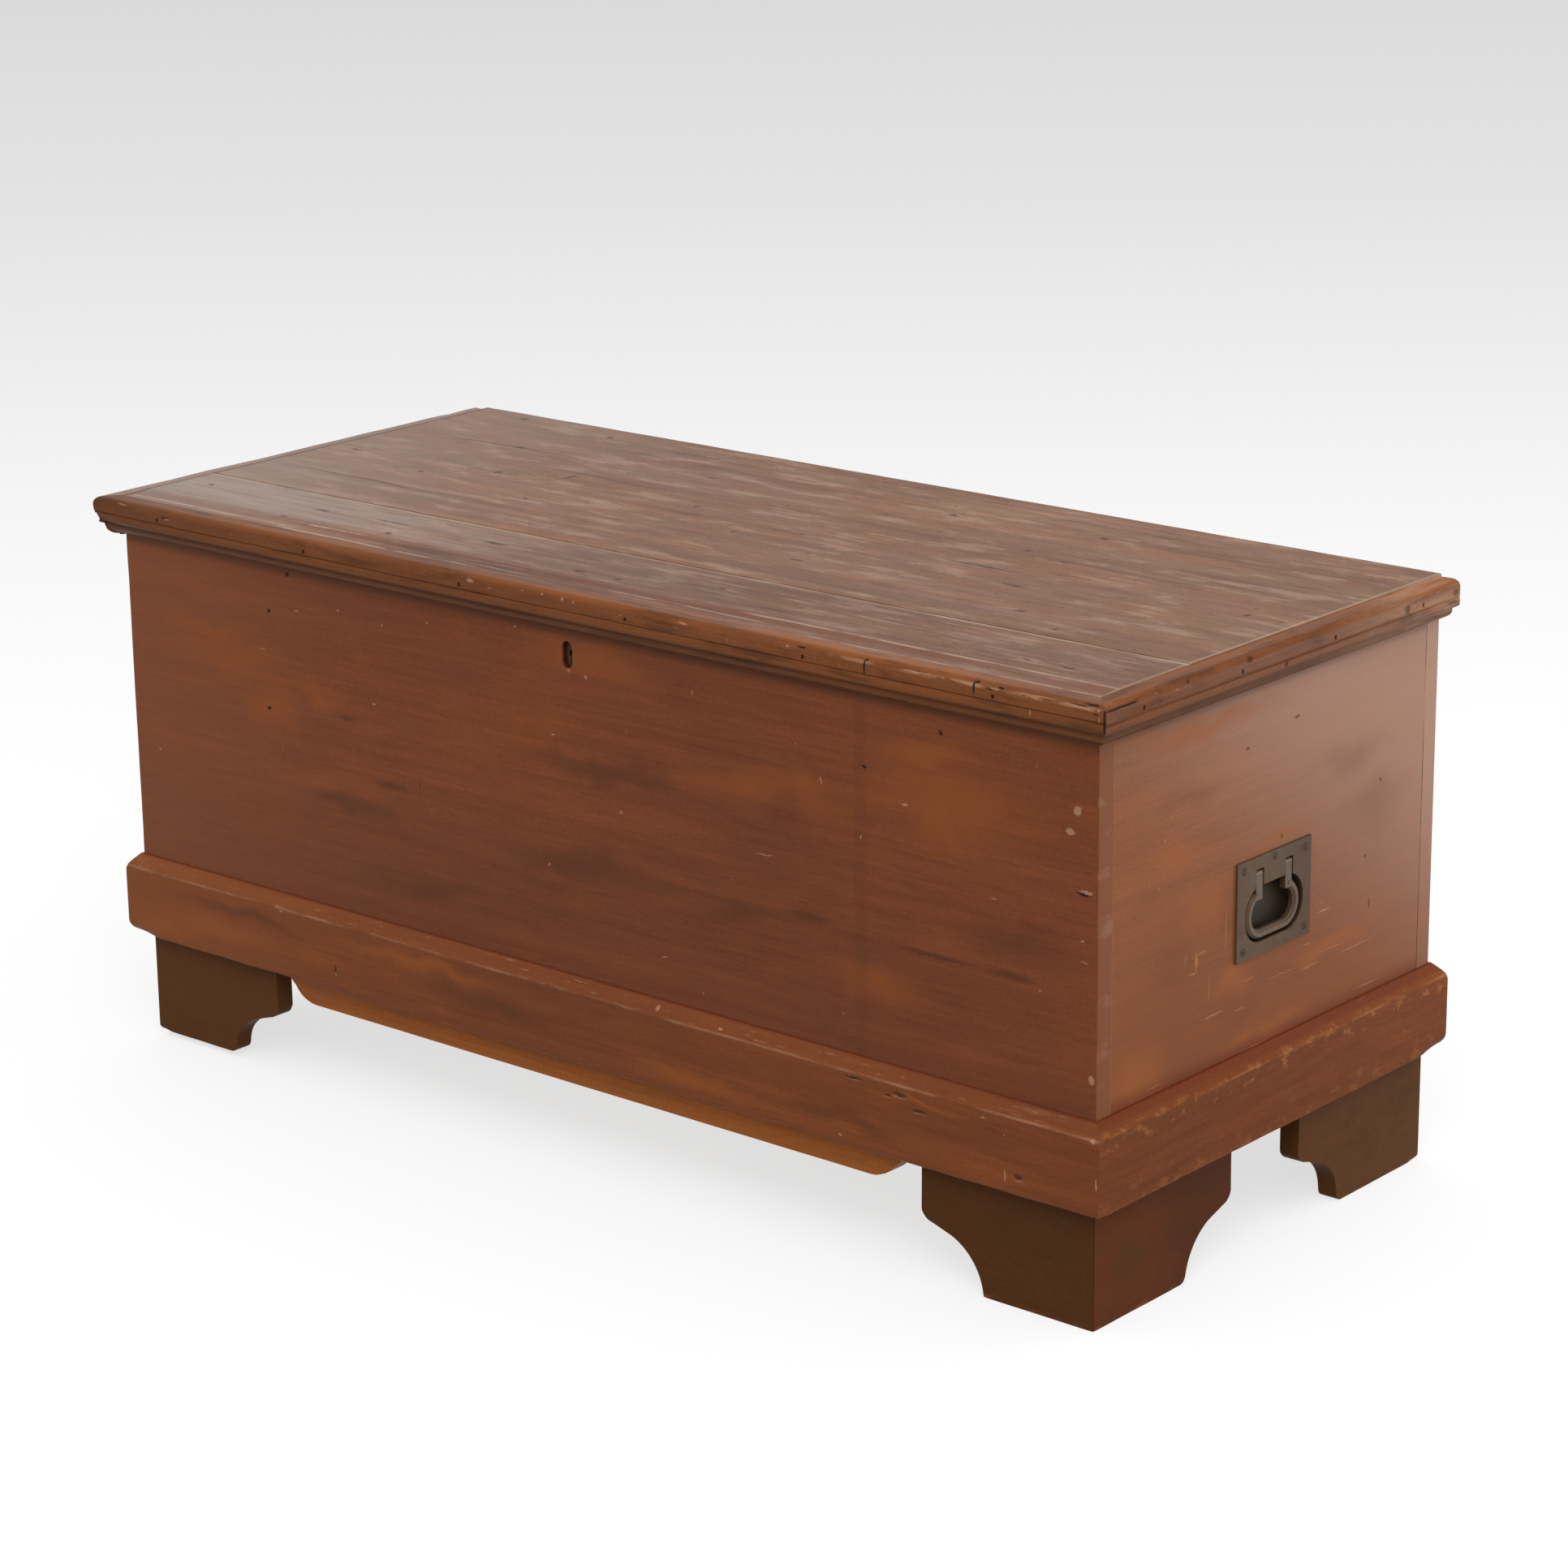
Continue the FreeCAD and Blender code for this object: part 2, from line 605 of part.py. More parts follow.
def make_foot_boards():
    faces = (("front_left_foot_face", -1, "left_face_width"),
             ("front_right_foot_face", 1, "right_face_width"))
    span = ("-cut_margin", "(foot_height + cut_margin)")
    for label, side, width in faces:
        body = node(label)
        corner = f"{side} * {FOOT_END}"
        prism(body, "Y", FOOT_FRONT, "foot_thickness", [scroll_outline(corner, -side, width)])
        mitre(body, f"{side} * ({FOOT_END} - foot_thickness)", f"{FOOT_FRONT} + foot_thickness",
              side, -1, "foot_thickness", *span, keep="along_x")
    for end, side in (("left", -1), ("right", 1)):
        start = f"-{FOOT_END}" if side < 0 else f"({FOOT_END} - foot_thickness)"
        body = node(f"front_{end}_foot_side")
        prism(body, "X", start, "foot_thickness",
              [scroll_outline(FOOT_FRONT, 1, "foot_side_width")])
        mitre(body, f"{side} * ({FOOT_END} - foot_thickness)", f"{FOOT_FRONT} + foot_thickness",
              side, -1, "foot_thickness", *span, keep="along_y")
        body = node(f"rear_{end}_foot_side")
        prism(body, "X", start, "foot_thickness", [scroll_outline(FOOT_BACK, -1, "foot_side_width")])
        body = node(f"rear_{end}_foot_back")
        corner = f"{side} * ({FOOT_END} - foot_thickness)"
        inner = f"{corner} - {side} * (rear_face_width - foot_thickness)"
        slope = f"{corner} - {side} * (rear_face_width - foot_thickness - rear_face_slope)"
        prism(body, "Y", f"{FOOT_BACK} - foot_thickness", "foot_thickness",
              [[(corner, "0"), (corner, "foot_height"), (inner, "foot_height"),
                (inner, "scroll_lip"), (slope, "0")]])


def make_apron():
    body = node("apron_front")
    left = f"-{FOOT_END} + left_face_width"
    right = f"{FOOT_END} - right_face_width"
    low = "foot_height - apron_drop"
    prism(body, "Y", FOOT_FRONT, "foot_thickness",
          [[(left, "foot_height"), (f"{left} + apron_slope", low, "apron_hollow"),
            (f"{right} - apron_slope", low), (right, "foot_height", "apron_hollow")]])


def make_foot_blocks():
    """Glue blocks in the corners of the feet, each cut away at its free corner."""
    body = node("foot_blocks")
    shapes = []
    for side in (-1, 1):
        across = f"{side} * ({FOOT_END} - foot_thickness)"
        inner = f"{across} - {side} * block_width"
        trim_x = f"{across} - {side} * (block_width - block_chamfer)"
        for along, out in ((f"{FOOT_FRONT} + foot_thickness", -1),
                           (f"{FOOT_BACK} - foot_thickness", 1)):
            deep = f"{along} - {out} * block_width"
            trim_y = f"{along} - {out} * (block_width - block_chamfer)"
            shapes.append([(across, along), (inner, along), (inner, trim_y), (trim_x, deep),
                           (across, deep)])
    prism(body, "Z", "block_lift", "(foot_height - block_lift)", shapes)


# --- lid

def make_lid_boards():
    body = node("lid_front_board")
    arris = "lid_arris"
    prism(body, "X", f"-{LID_END}", f"(2 * {LID_END})",
          [[(LID_FRONT, LID), (LID_JOINT, LID), (LID_JOINT, f"{TOP} - {arris}"),
            (f"{LID_JOINT} - {arris}", TOP), (LID_FRONT, TOP)]])
    spare = "lock_clearance"
    prism(body, "Z", LID, "strike_thickness",
          [box((f"-strike_width / 2 - {spare}", f"{INNER_FRONT} - selvedge_depth - {spare}"),
               (f"strike_width / 2 + {spare}", f"{INNER_FRONT} + {spare}"))], cut=True)
    screw_holes(body, "Z", LID, 1, "screw_length", STRIKE_SCREW_SPOTS)
    nail_holes(body, "Y", f"({FRONT} - moulding_proud)", 1, MOULDING_NAIL_REACH,
               MOULDING_NAIL_SPOTS)
    lid_end_nail_holes(body, MOULDING_END_NAIL_SPOTS[:1])
    body = node("lid_back_board")
    start = f"{LID_JOINT} + lid_board_gap"
    prism(body, "X", f"-{LID_END}", f"(2 * {LID_END})",
          [[(start, LID), (LID_BACK, LID), (LID_BACK, TOP), (f"{start} + {arris}", TOP),
            (start, f"{TOP} - {arris}")]])
    for side in (-1, 1):
        middle = f"{side} * hinge_spread / 2"
        low, high = (f"{middle} {sign} (hinge_length / 2 + screw_clearance)" for sign in "-+")
        prism(body, "Z", LID, "leaf_thickness",
              [box((low, f"{BACK} - hinge_reach - screw_clearance"), (high, BACK))], cut=True)
        prism(body, "Z", LID, "(knuckle_radius + knuckle_clearance)",
              [box((low, f"{BACK} - knuckle_radius - knuckle_clearance"), (high, BACK))], cut=True)
    screw_holes(body, "Z", LID, 1, "screw_length", hinge_screw_spots())
    lid_end_nail_holes(body, MOULDING_END_NAIL_SPOTS[1:])


def lid_end_nail_holes(body, spots):
    for side in (-1, 1):
        nail_holes(body, "X", f"{side} * ({END} + moulding_proud)", -side,
                   MOULDING_NAIL_REACH, spots)


def moulding_profile(face, out):
    """The lid moulding's section, from the board's edge outwards: a flat top, a nose, a quirk, a
    rounded lower band, a step and an ovolo. out is the way it stands proud, -1 or 1."""
    def at(proud, drop):
        return (f"{face} + {out} * ({proud})", f"{TOP} - ({drop})")

    nose, lower = "moulding_nose", "moulding_lower_round"
    top, proud = "moulding_top_step", "moulding_proud"
    quirk, tall = "moulding_quirk", "moulding_quirk_height"
    band = f"({proud} - moulding_lower_set)"
    nose_end = f"({top} + {nose} + moulding_nose_flat)"
    band_end = f"({nose_end} + {tall} + moulding_lower_flat)"
    ovolo = "moulding_ovolo"
    fillet = "moulding_fillet"
    ovolo_end = "(moulding_drop - moulding_low_edge)"
    ovolo_start = f"({ovolo_end} - {ovolo})"
    return [at("lid_overhang", top), at("lid_overhang", "moulding_drop"),
            at(f"{band} - {lower} - {fillet} - {ovolo}", "moulding_drop"),
            at(f"{band} - {lower} - {fillet} - {ovolo}", ovolo_end),
            (*at(f"{band} - {lower} - {fillet}", ovolo_start), f"{out} * {ovolo}"),
            at(f"{band} - {lower} - {fillet}", f"{band_end} + {lower}"),
            at(f"{band} - {lower}", f"{band_end} + {lower}"),
            (*at(band, band_end), f"{out} * {lower}"),
            at(band, f"{nose_end} + {tall}"),
            at(f"{proud} - {quirk}", f"{nose_end} + {tall} / 2"),
            at(proud, nose_end),
            at(proud, f"{top} + {nose}"),
            (*at(f"{proud} - {nose}", top), f"{out} * {nose}")]


def make_mouldings():
    body = node("lid_front_moulding")
    span = (f"{TOP} - moulding_drop - cut_margin", f"({TOP} + cut_margin)")
    prism(body, "X", f"-{END} - moulding_proud", "(case_length + 2 * moulding_proud)",
          [moulding_profile(FRONT, -1)])
    for side in (-1, 1):
        mitre(body, f"{side} * {LID_END}", LID_FRONT, side, -1, "moulding_proud", *span,
              keep="along_x")
    nail_holes(body, "Y", f"({FRONT} - moulding_proud)", 1, MOULDING_NAIL_REACH,
               MOULDING_NAIL_SPOTS)
    for label, side in (("lid_left_moulding", -1), ("lid_right_moulding", 1)):
        body = node(label)
        prism(body, "Y", f"{FRONT} - moulding_proud", f"({LID_BACK} - {FRONT} + moulding_proud)",
              [moulding_profile(f"{side} * {END}", side)])
        mitre(body, f"{side} * {LID_END}", LID_FRONT, side, -1, "moulding_proud", *span,
              keep="along_y")
        nail_holes(body, "X", f"{side} * ({END} + moulding_proud)", -side,
                   MOULDING_NAIL_REACH, MOULDING_END_NAIL_SPOTS)


# --- butt hinges

def hinge_screw_spots():
    along = f"{BACK} - hinge_screw_inset"
    return [(f"{side} * hinge_spread / 2 + {step} * hinge_screw_spread / 2", along)
            for side in (-1, 1) for step in (-1, 0, 1)]


def make_hinge_leaf(label, side, up):
    """One leaf with its knuckles. up is 1 for the lid's leaf and -1 for the case's leaf."""
    body = node(label)
    near = "lid_seat_gap / 2"
    low, high = (near, f"{near} + leaf_thickness") if up > 0 else (f"-{near} - leaf_thickness",
                                                                   f"-{near}")
    clear = "(knuckle_radius + knuckle_clearance - screw_clearance)"
    prism(body, "X", "-hinge_length / 2", "hinge_length",
          [box(("-hinge_reach", low), (f"-{clear}", high))])
    pitch = f"(hinge_length / {KNUCKLES})"
    own = range(1, KNUCKLES, 2) if up > 0 else range(0, KNUCKLES, 2)
    for number in own:
        start = f"-hinge_length / 2 + {number} * {pitch} + knuckle_gap / 2"
        length = f"({pitch} - knuckle_gap)"
        prism(body, "X", start, length, [("0", "0", "knuckle_radius")])
        prism(body, "X", start, length, [box((f"-{clear} - leaf_overlap", low), ("0", high))])
    prism(body, "X", "-hinge_length / 2", "hinge_length",
          [("0", "0", "(hinge_pin_radius + pin_clearance)")], cut=True)
    spots = [(f"{step} * hinge_screw_spread / 2", "-hinge_screw_inset") for step in (-1, 0, 1)]
    screw_holes(body, "Z", near if up > 0 else f"-{near}", up, "screw_length", spots, heads=True)
    place(body, f"{side} * hinge_spread / 2", BACK, f"{RIM} + lid_seat_gap / 2")


def make_hinges():
    for end, side in (("left", -1), ("right", 1)):
        make_hinge_leaf(f"hinge_case_leaf_{end}", side, -1)
        make_hinge_leaf(f"hinge_lid_leaf_{end}", side, 1)
        pin = node(f"hinge_pin_{end}")
        prism(pin, "X", "-hinge_length / 2", "hinge_length", [("0", "0", "hinge_pin_radius")])
        place(pin, f"{side} * hinge_spread / 2", BACK, f"{RIM} + lid_seat_gap / 2")
    screws(node("hinge_case_screws"), "Z", RIM, -1, "screw_length", hinge_screw_spots())
    screws(node("hinge_lid_screws"), "Z", LID, 1, "screw_length", hinge_screw_spots())


# --- flush drop handles, modelled about the middle of the plate's back, +X out of the chest

PLATE_TOP = "(plate_height / 2)"
SLOT_TOP = f"({PLATE_TOP} - slot_drop)"
WINDOW_TOP = f"({PLATE_TOP} - window_drop)"
WINDOW_LOW = f"({WINDOW_TOP} - window_height)"
PIVOT_UP = f"({SLOT_TOP} - eye_clearance - eye_radius)"
PIVOT_IN = "(-pivot_depth)"
RING_LOW = f"({WINDOW_LOW} + ring_clearance + ring_radius)"
RING_BEND = "(ring_height / 2)"
RING_STRAIGHT = f"(ring_width / 2 - {RING_BEND})"
SLOT_MIDDLE = "(slot_spread / 2)"
HANDLE_SCREW_SPOTS = [
    ("-plate_width / 2 + handle_screw_side", "plate_height / 2 - handle_screw_top"),
    ("plate_width / 2 - handle_screw_side", "plate_height / 2 - handle_screw_top"),
    ("0", "plate_height / 2 - handle_screw_middle"),
    ("-plate_width / 2 + handle_screw_side", "-plate_height / 2 + handle_screw_top"),
    ("plate_width / 2 - handle_screw_side", "-plate_height / 2 + handle_screw_top"),
]


def pan_outline(grow, across, up):
    """The cup's outline: a round-ended hollow with a squarer head over it for the pivot."""
    margin = f"(pan_margin + {grow})"
    bend = f"(window_radius + {margin})"
    straight = "(window_width / 2 - window_radius)"
    centre = f"({WINDOW_LOW} + window_radius)"
    head = f"(pan_head_width / 2 + {grow})"
    neck = f"({centre} + sqrt({bend} ^ 2 - ({head} - {straight}) ^ 2))"
    head_top = f"({SLOT_TOP} + pan_wall + {grow})"

    def at(u, v):
        return f"{across} + {u}", f"{up} + {v}"

    return [at(straight, f"({centre} - {bend})"),
            (*at(f"({straight} + {bend})", centre), bend), (*at(head, neck), bend),
            at(head, head_top), at(f"-{head}", head_top), at(f"-{head}", neck),
            (*at(f"-({straight} + {bend})", centre), bend),
            (*at(f"-{straight}", f"({centre} - {bend})"), bend)]


def window_outline():
    """The plate's window: a rounded slot, level along its top and bottom."""
    bend = "window_radius"
    side = "(window_width / 2)"
    straight = f"({side} - {bend})"
    low = f"({WINDOW_LOW} + {bend})"
    high = f"({WINDOW_TOP} - {bend})"
    return [(straight, WINDOW_LOW), (side, low, bend), (side, high), (straight, WINDOW_TOP, bend),
            (f"-{straight}", WINDOW_TOP), (f"-{side}", high, bend), (f"-{side}", low),
            (f"-{straight}", WINDOW_LOW, bend)]


def make_handle(end, side):
    """One handle's fixed pieces and its bail; side is -1 for the left end, 1 for the right."""
    spot = (f"{side} * {END}", "handle_offset", "foot_height + handle_height",
            0 if side > 0 else 180)
    lug_faces = (f"({SLOT_MIDDLE} - arm_width / 2 - lug_gap - lug_width)",
                 f"({SLOT_MIDDLE} + arm_width / 2 + lug_gap)")
    pin_end = f"({lug_faces[1]} + lug_width)"

    plate = node(f"handle_plate_{end}")
    prism(plate, "X", "0", "plate_thickness",
          [box(("-plate_width / 2", "-plate_height / 2"), ("plate_width / 2", "plate_height / 2"))])
    prism(plate, "X", "0", "plate_thickness", [window_outline()], cut=True)
    for way in (-1, 1):
        low, high = (f"{way} * {SLOT_MIDDLE} {sign} slot_width / 2" for sign in "-+")
        prism(plate, "X", "0", "plate_thickness",
              [box((low, f"{WINDOW_TOP} - window_radius / 2"), (high, SLOT_TOP))], cut=True)
        for face in lug_faces:
            start = face if way > 0 else f"-{face} - lug_width"
            prism(plate, "Y", start, "lug_width",
                  [box(("-lug_depth", f"{PIVOT_UP} - lug_height / 2"),
                       ("0", f"{PIVOT_UP} + lug_height / 2"))])
    prism(plate, "Y", f"-{pin_end}", f"(2 * {pin_end})",
          [(PIVOT_IN, PIVOT_UP, "(pivot_radius + pin_clearance)")], cut=True)
    screw_holes(plate, "X", "plate_thickness", -1, "screw_length", HANDLE_SCREW_SPOTS,
                heads=True)
    place(plate, *spot)

    pan = node(f"handle_pan_{end}")
    prism(pan, "X", "-pan_depth", "pan_depth", [pan_outline("0", "0", "0")])
    prism(pan, "X", "-pan_depth + pan_wall", "(pan_depth - pan_wall)",
          [pan_outline("-pan_wall", "0", "0")], cut=True)
    place(pan, *spot)

    pin = node(f"handle_pin_{end}")
    prism(pin, "Y", f"-{pin_end}", f"(2 * {pin_end})", [(PIVOT_IN, PIVOT_UP, "pivot_radius")])
    place(pin, *spot)

    holders = node(f"handle_screws_{end}")
    screws(holders, "X", "plate_thickness", -1, "screw_length", HANDLE_SCREW_SPOTS)
    place(holders, *spot)

    bail = node(f"bail_{end}")
    make_bail(bail)
    place(bail, *spot)


def ring_section():
    """The ring's eight-sided section, about the pivot's level inwards."""
    low, high = (f"({RING_LOW} {sign} ring_radius)" for sign in "-+")
    back, front = (f"({PIVOT_IN} {sign} ring_radius)" for sign in "-+")
    trim = "ring_chamfer"
    return [(f"{back} + {trim}", low), (f"{front} - {trim}", low), (front, f"{low} + {trim}"),
            (front, f"{high} - {trim}"), (f"{front} - {trim}", high), (f"{back} + {trim}", high),
            (back, f"{high} - {trim}"), (back, f"{low} + {trim}")]


def make_bail(bail):
    """A cast ring, open at its top between two flat arms with eyes for the pivot."""
    turn_up = f"({RING_LOW} + {RING_BEND})"
    rise = f"sqrt({RING_BEND} ^ 2 - ({SLOT_MIDDLE} - {RING_STRAIGHT}) ^ 2)"
    prism(bail, "Y", f"-{RING_STRAIGHT}", f"(2 * {RING_STRAIGHT})", [ring_section()])
    for way in (-1, 1):
        profile = sketch_on(bail, "Y", f"{way} * {RING_STRAIGHT}")
        rules = []
        draw_outline(profile, rules, ring_section())
        ends = [FreeCAD.Vector(value(across), value(turn_up), 0) for across in ("-pan_depth", "0")]
        line = profile.addGeometry(Part.LineSegment(*ends), True)
        hold_point(rules, line, 1, "-pan_depth", turn_up)
        hold_point(rules, line, 2, "0", turn_up)
        apply_rules(profile, rules)
        bend = bail.newObject("PartDesign::Revolution", "Bend")
        bend.Profile = profile
        bend.ReferenceAxis = (profile, ["Axis0"])
        turn = f"90 deg + acos(({SLOT_MIDDLE} - {RING_STRAIGHT}) / {RING_BEND})"
        bend.setExpression("Angle", sized(turn))
        bend.Reversed = way < 0
        profile.Visibility = False
    inward = "(arm_thickness - eye_radius)"
    meet = f"{PIVOT_UP} - sqrt(eye_radius ^ 2 - {inward} ^ 2)"
    arm_low = f"{turn_up} + {rise} - ring_radius"
    outline = [(f"{PIVOT_IN} + eye_radius", arm_low), (f"{PIVOT_IN} + eye_radius", PIVOT_UP),
               (PIVOT_IN, f"{PIVOT_UP} + eye_radius", "eye_radius"),
               (f"{PIVOT_IN} - eye_radius", PIVOT_UP, "eye_radius"),
               (f"{PIVOT_IN} - {inward}", meet, "eye_radius"), (f"{PIVOT_IN} - {inward}", arm_low)]
    for way in (-1, 1):
        prism(bail, "Y", f"({way} * {SLOT_MIDDLE} - arm_width / 2)", "arm_width", [outline])
    reach = f"({SLOT_MIDDLE} + arm_width / 2)"
    prism(bail, "Y", f"-{reach}", f"(2 * {reach})",
          [(PIVOT_IN, PIVOT_UP, "(pivot_radius + pin_clearance)")], cut=True)


# --- chest lock let into the inside of the front board

LOCK_SCREW_SPOTS = [(f"{side} * (lock_plate_width / 2 - lock_screw_inset)", level)
                    for side in (-1, 1)
                    for level in (f"{RIM} - 2 * lock_screw_inset",
                                  f"{RIM} - lock_plate_height + lock_screw_inset")]
STRIKE_SCREW_SPOTS = [(f"{side} * strike_screw_spread / 2", f"{INNER_FRONT} - selvedge_depth / 2")
                      for side in (-1, 1)]
PLATE_FACE = f"({INNER_FRONT} - lock_plate_thickness)"
BOLT_MIDDLE = f"({PLATE_FACE} - (cap_depth - cap_wall) / 2)"
EYE_UP = f"({LID} - staple_eye_drop)"
KEY_UP = f"({RIM} - key_drop)"
STUMP_ACROSS = "(-bolt_talon_width / 2 - stump_radius)"


def make_lock():
    plate = node("lock_plate")
    half = "lock_plate_width / 2"
    prism(plate, "Y", PLATE_FACE, "lock_plate_thickness",
          [box((f"-{half}", f"{RIM} - lock_plate_height"), (half, RIM))])
    prism(plate, "Z", f"{RIM} - lock_plate_thickness", "lock_plate_thickness",
          [box((f"-{half}", f"{INNER_FRONT} - selvedge_depth"), (half, INNER_FRONT))])
    prism(plate, "Z", f"{RIM} - lock_plate_thickness", "lock_plate_thickness",
          [box(("staple_offset - staple_thickness / 2 - staple_clearance",
                f"{BOLT_MIDDLE} - staple_width / 2 - staple_clearance"),
               ("staple_offset + staple_thickness / 2 + staple_clearance",
                f"{BOLT_MIDDLE} + staple_width / 2 + staple_clearance"))], cut=True)
    screw_holes(plate, "Y", INNER_FRONT, -1, "lock_screw_length", LOCK_SCREW_SPOTS, heads=True)

    cap = node("lock_cap")
    depth = "cap_depth"
    top = f"{RIM} - lock_plate_thickness"
    prism(cap, "Y", f"{PLATE_FACE} - {depth}", depth,
          [box(("-cap_width / 2", f"{top} - cap_height"), ("cap_width / 2", top))])
    prism(cap, "Y", f"{PLATE_FACE} - {depth} + cap_wall", f"({depth} - cap_wall)",
          [box(("-cap_width / 2 + cap_wall", f"{top} - cap_height + cap_wall"),
               ("cap_width / 2 - cap_wall", top))], cut=True)
    prism(cap, "Y", f"{PLATE_FACE} - {depth}", "cap_wall", [("0", KEY_UP, "key_eye")], cut=True)
    prism(cap, "Y", f"{PLATE_FACE} - {depth}", "cap_wall",
          [box(("-key_slot_width / 2", f"{KEY_UP} - key_slot_drop"),
               ("key_slot_width / 2", KEY_UP))], cut=True)

    posts = node("lock_posts")
    reach = f"({depth} - cap_wall)"
    prism(posts, "Y", f"{PLATE_FACE} - {reach}", reach, [("0", KEY_UP, "key_post_radius")])
    prism(posts, "Y", f"{PLATE_FACE} - {reach}", reach,
          [(STUMP_ACROSS, f"{RIM} - stump_drop", "stump_radius")])

    screws(node("lock_screws"), "Y", INNER_FRONT, -1, "lock_screw_length", LOCK_SCREW_SPOTS)

    bolt = node("lock_bolt")
    high, low = (f"{EYE_UP} {sign} bolt_height / 2" for sign in "+-")
    right = "bolt_body_right"
    left = "(bolt_body_right - bolt_body_width)"
    foot = f"{low} - bolt_body_height"
    talon = "bolt_talon_width / 2"
    prism(bolt, "Y", f"{BOLT_MIDDLE} - bolt_thickness / 2", "bolt_thickness",
          [[("-bolt_tail", low), (left, low), (left, foot), (f"-{talon}", foot),
            (f"-{talon}", f"{foot} + bolt_talon_depth"), (talon, f"{foot} + bolt_talon_depth"),
            (talon, foot), (right, foot), (right, low), ("bolt_reach", low), ("bolt_reach", high),
            ("-bolt_tail", high)]])
    bore = "(stump_radius + stump_clearance)"
    slot_high, slot_low = (f"{RIM} - stump_drop {sign} {bore}" for sign in "+-")
    slot_left = f"{STUMP_ACROSS} - bolt_travel"
    middle = f"{RIM} - stump_drop"
    prism(bolt, "Y", f"{BOLT_MIDDLE} - bolt_thickness / 2", "bolt_thickness",
          [[(slot_left, slot_low, bore), (STUMP_ACROSS, slot_low),
            (f"{STUMP_ACROSS} + {bore}", middle, bore), (STUMP_ACROSS, slot_high, bore),
            (slot_left, slot_high), (f"{slot_left} - {bore}", middle, bore)]], cut=True)


def make_strike():
    strike = node("lid_strike")
    prism(strike, "Z", LID, "strike_thickness",
          [box(("-strike_width / 2", f"{INNER_FRONT} - selvedge_depth"),
               ("strike_width / 2", INNER_FRONT))])
    low = f"{EYE_UP} - staple_eye_height / 2 - staple_foot"
    prism(strike, "X", "staple_offset - staple_thickness / 2", "staple_thickness",
          [box((f"{BOLT_MIDDLE} - staple_width / 2", low),
               (f"{BOLT_MIDDLE} + staple_width / 2", f"{LID} + strike_thickness / 2"))])
    prism(strike, "X", "staple_offset - staple_thickness / 2", "staple_thickness",
          [box((f"{BOLT_MIDDLE} - staple_eye_width / 2", f"{EYE_UP} - staple_eye_height / 2"),
               (f"{BOLT_MIDDLE} + staple_eye_width / 2", f"{EYE_UP} + staple_eye_height / 2"))],
          cut=True)
    screw_holes(strike, "Z", LID, 1, "screw_length", STRIKE_SCREW_SPOTS, heads=True)
    screws(node("strike_screws"), "Z", LID, 1, "screw_length", STRIKE_SCREW_SPOTS)


def check_and_write():
    """Stops on any failed object, empty cut or bad solid, then writes each sub-part."""
    for item in doc.Objects:
        if "Invalid" in item.State or "Error" in item.State:
            raise RuntimeError(f"{item.Label} failed: {item.State}")
    for feature in CUTS:
        if feature.Shape.Volume > feature.BaseFeature.Shape.Volume - 0.01:
            raise RuntimeError(f"{feature.getParentGeoFeatureGroup().Label} has a cut that cuts nothing")
    os.makedirs("parts", exist_ok=True)
    for body in NODES:
        shape = body.Shape
        if shape.isNull() or not shape.isValid() or not shape.Solids:
            raise RuntimeError(f"{body.Label} has no valid solid")
        shape.exportStep(f"parts/{body.Label}.step")
    print(len(NODES), "sub-parts written")


make_front_board()
make_back_board()
make_end_board("left_end_board", -1)
make_end_board("right_end_board", 1)
make_bottom_boards()
make_skirt()
make_foot_boards()
make_apron()
make_foot_blocks()
make_lid_boards()
make_mouldings()
make_hinges()
make_handle("left", -1)
make_handle("right", 1)
make_lock()
make_strike()
make_case_nails()
make_skirt_nails()
make_moulding_nails()
doc.recompute()
check_and_write()
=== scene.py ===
"""A nailed pine blanket chest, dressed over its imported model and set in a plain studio."""

import json
import math

import bmesh
import bpy
from bpy.props import FloatProperty, FloatVectorProperty, PointerProperty
from mathutils import Color, Matrix, Vector, noise


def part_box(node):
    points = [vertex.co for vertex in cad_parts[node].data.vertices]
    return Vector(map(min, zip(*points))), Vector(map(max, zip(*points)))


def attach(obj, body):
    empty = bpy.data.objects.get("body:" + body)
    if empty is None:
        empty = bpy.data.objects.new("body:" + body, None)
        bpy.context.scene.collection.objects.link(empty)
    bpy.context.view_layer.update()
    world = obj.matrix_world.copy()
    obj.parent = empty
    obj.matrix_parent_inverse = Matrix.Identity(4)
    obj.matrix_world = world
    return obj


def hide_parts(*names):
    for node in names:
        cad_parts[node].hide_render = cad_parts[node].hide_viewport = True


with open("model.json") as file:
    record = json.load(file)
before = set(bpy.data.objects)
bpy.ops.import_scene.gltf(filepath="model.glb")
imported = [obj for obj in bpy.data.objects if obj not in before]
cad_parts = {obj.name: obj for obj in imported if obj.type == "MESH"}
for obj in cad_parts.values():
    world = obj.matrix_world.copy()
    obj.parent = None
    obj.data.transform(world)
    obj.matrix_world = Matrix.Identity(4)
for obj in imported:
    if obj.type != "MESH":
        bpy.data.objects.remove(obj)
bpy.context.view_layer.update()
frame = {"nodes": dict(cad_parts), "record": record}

bl_info = {
    "name": "Blanket Chest",
    "version": (1, 0, 0),
    "blender": (4, 5, 0),
    "location": "3D View > Sidebar > Chest",
    "description": "Worn stained pine, forged iron and a studio for a blanket chest",
    "category": "Object",
}

# Screws on a handle's plate: across and up from its middle, and the slot's turn
SCREWS = [
    (-0.04725, 0.0371, 0.15), (0.04725, 0.0371, 0.5), (0.0, 0.0402, 0.1), (-0.04725, -0.0371, 1.2),
    (0.04725, -0.0371, 0.8),
]

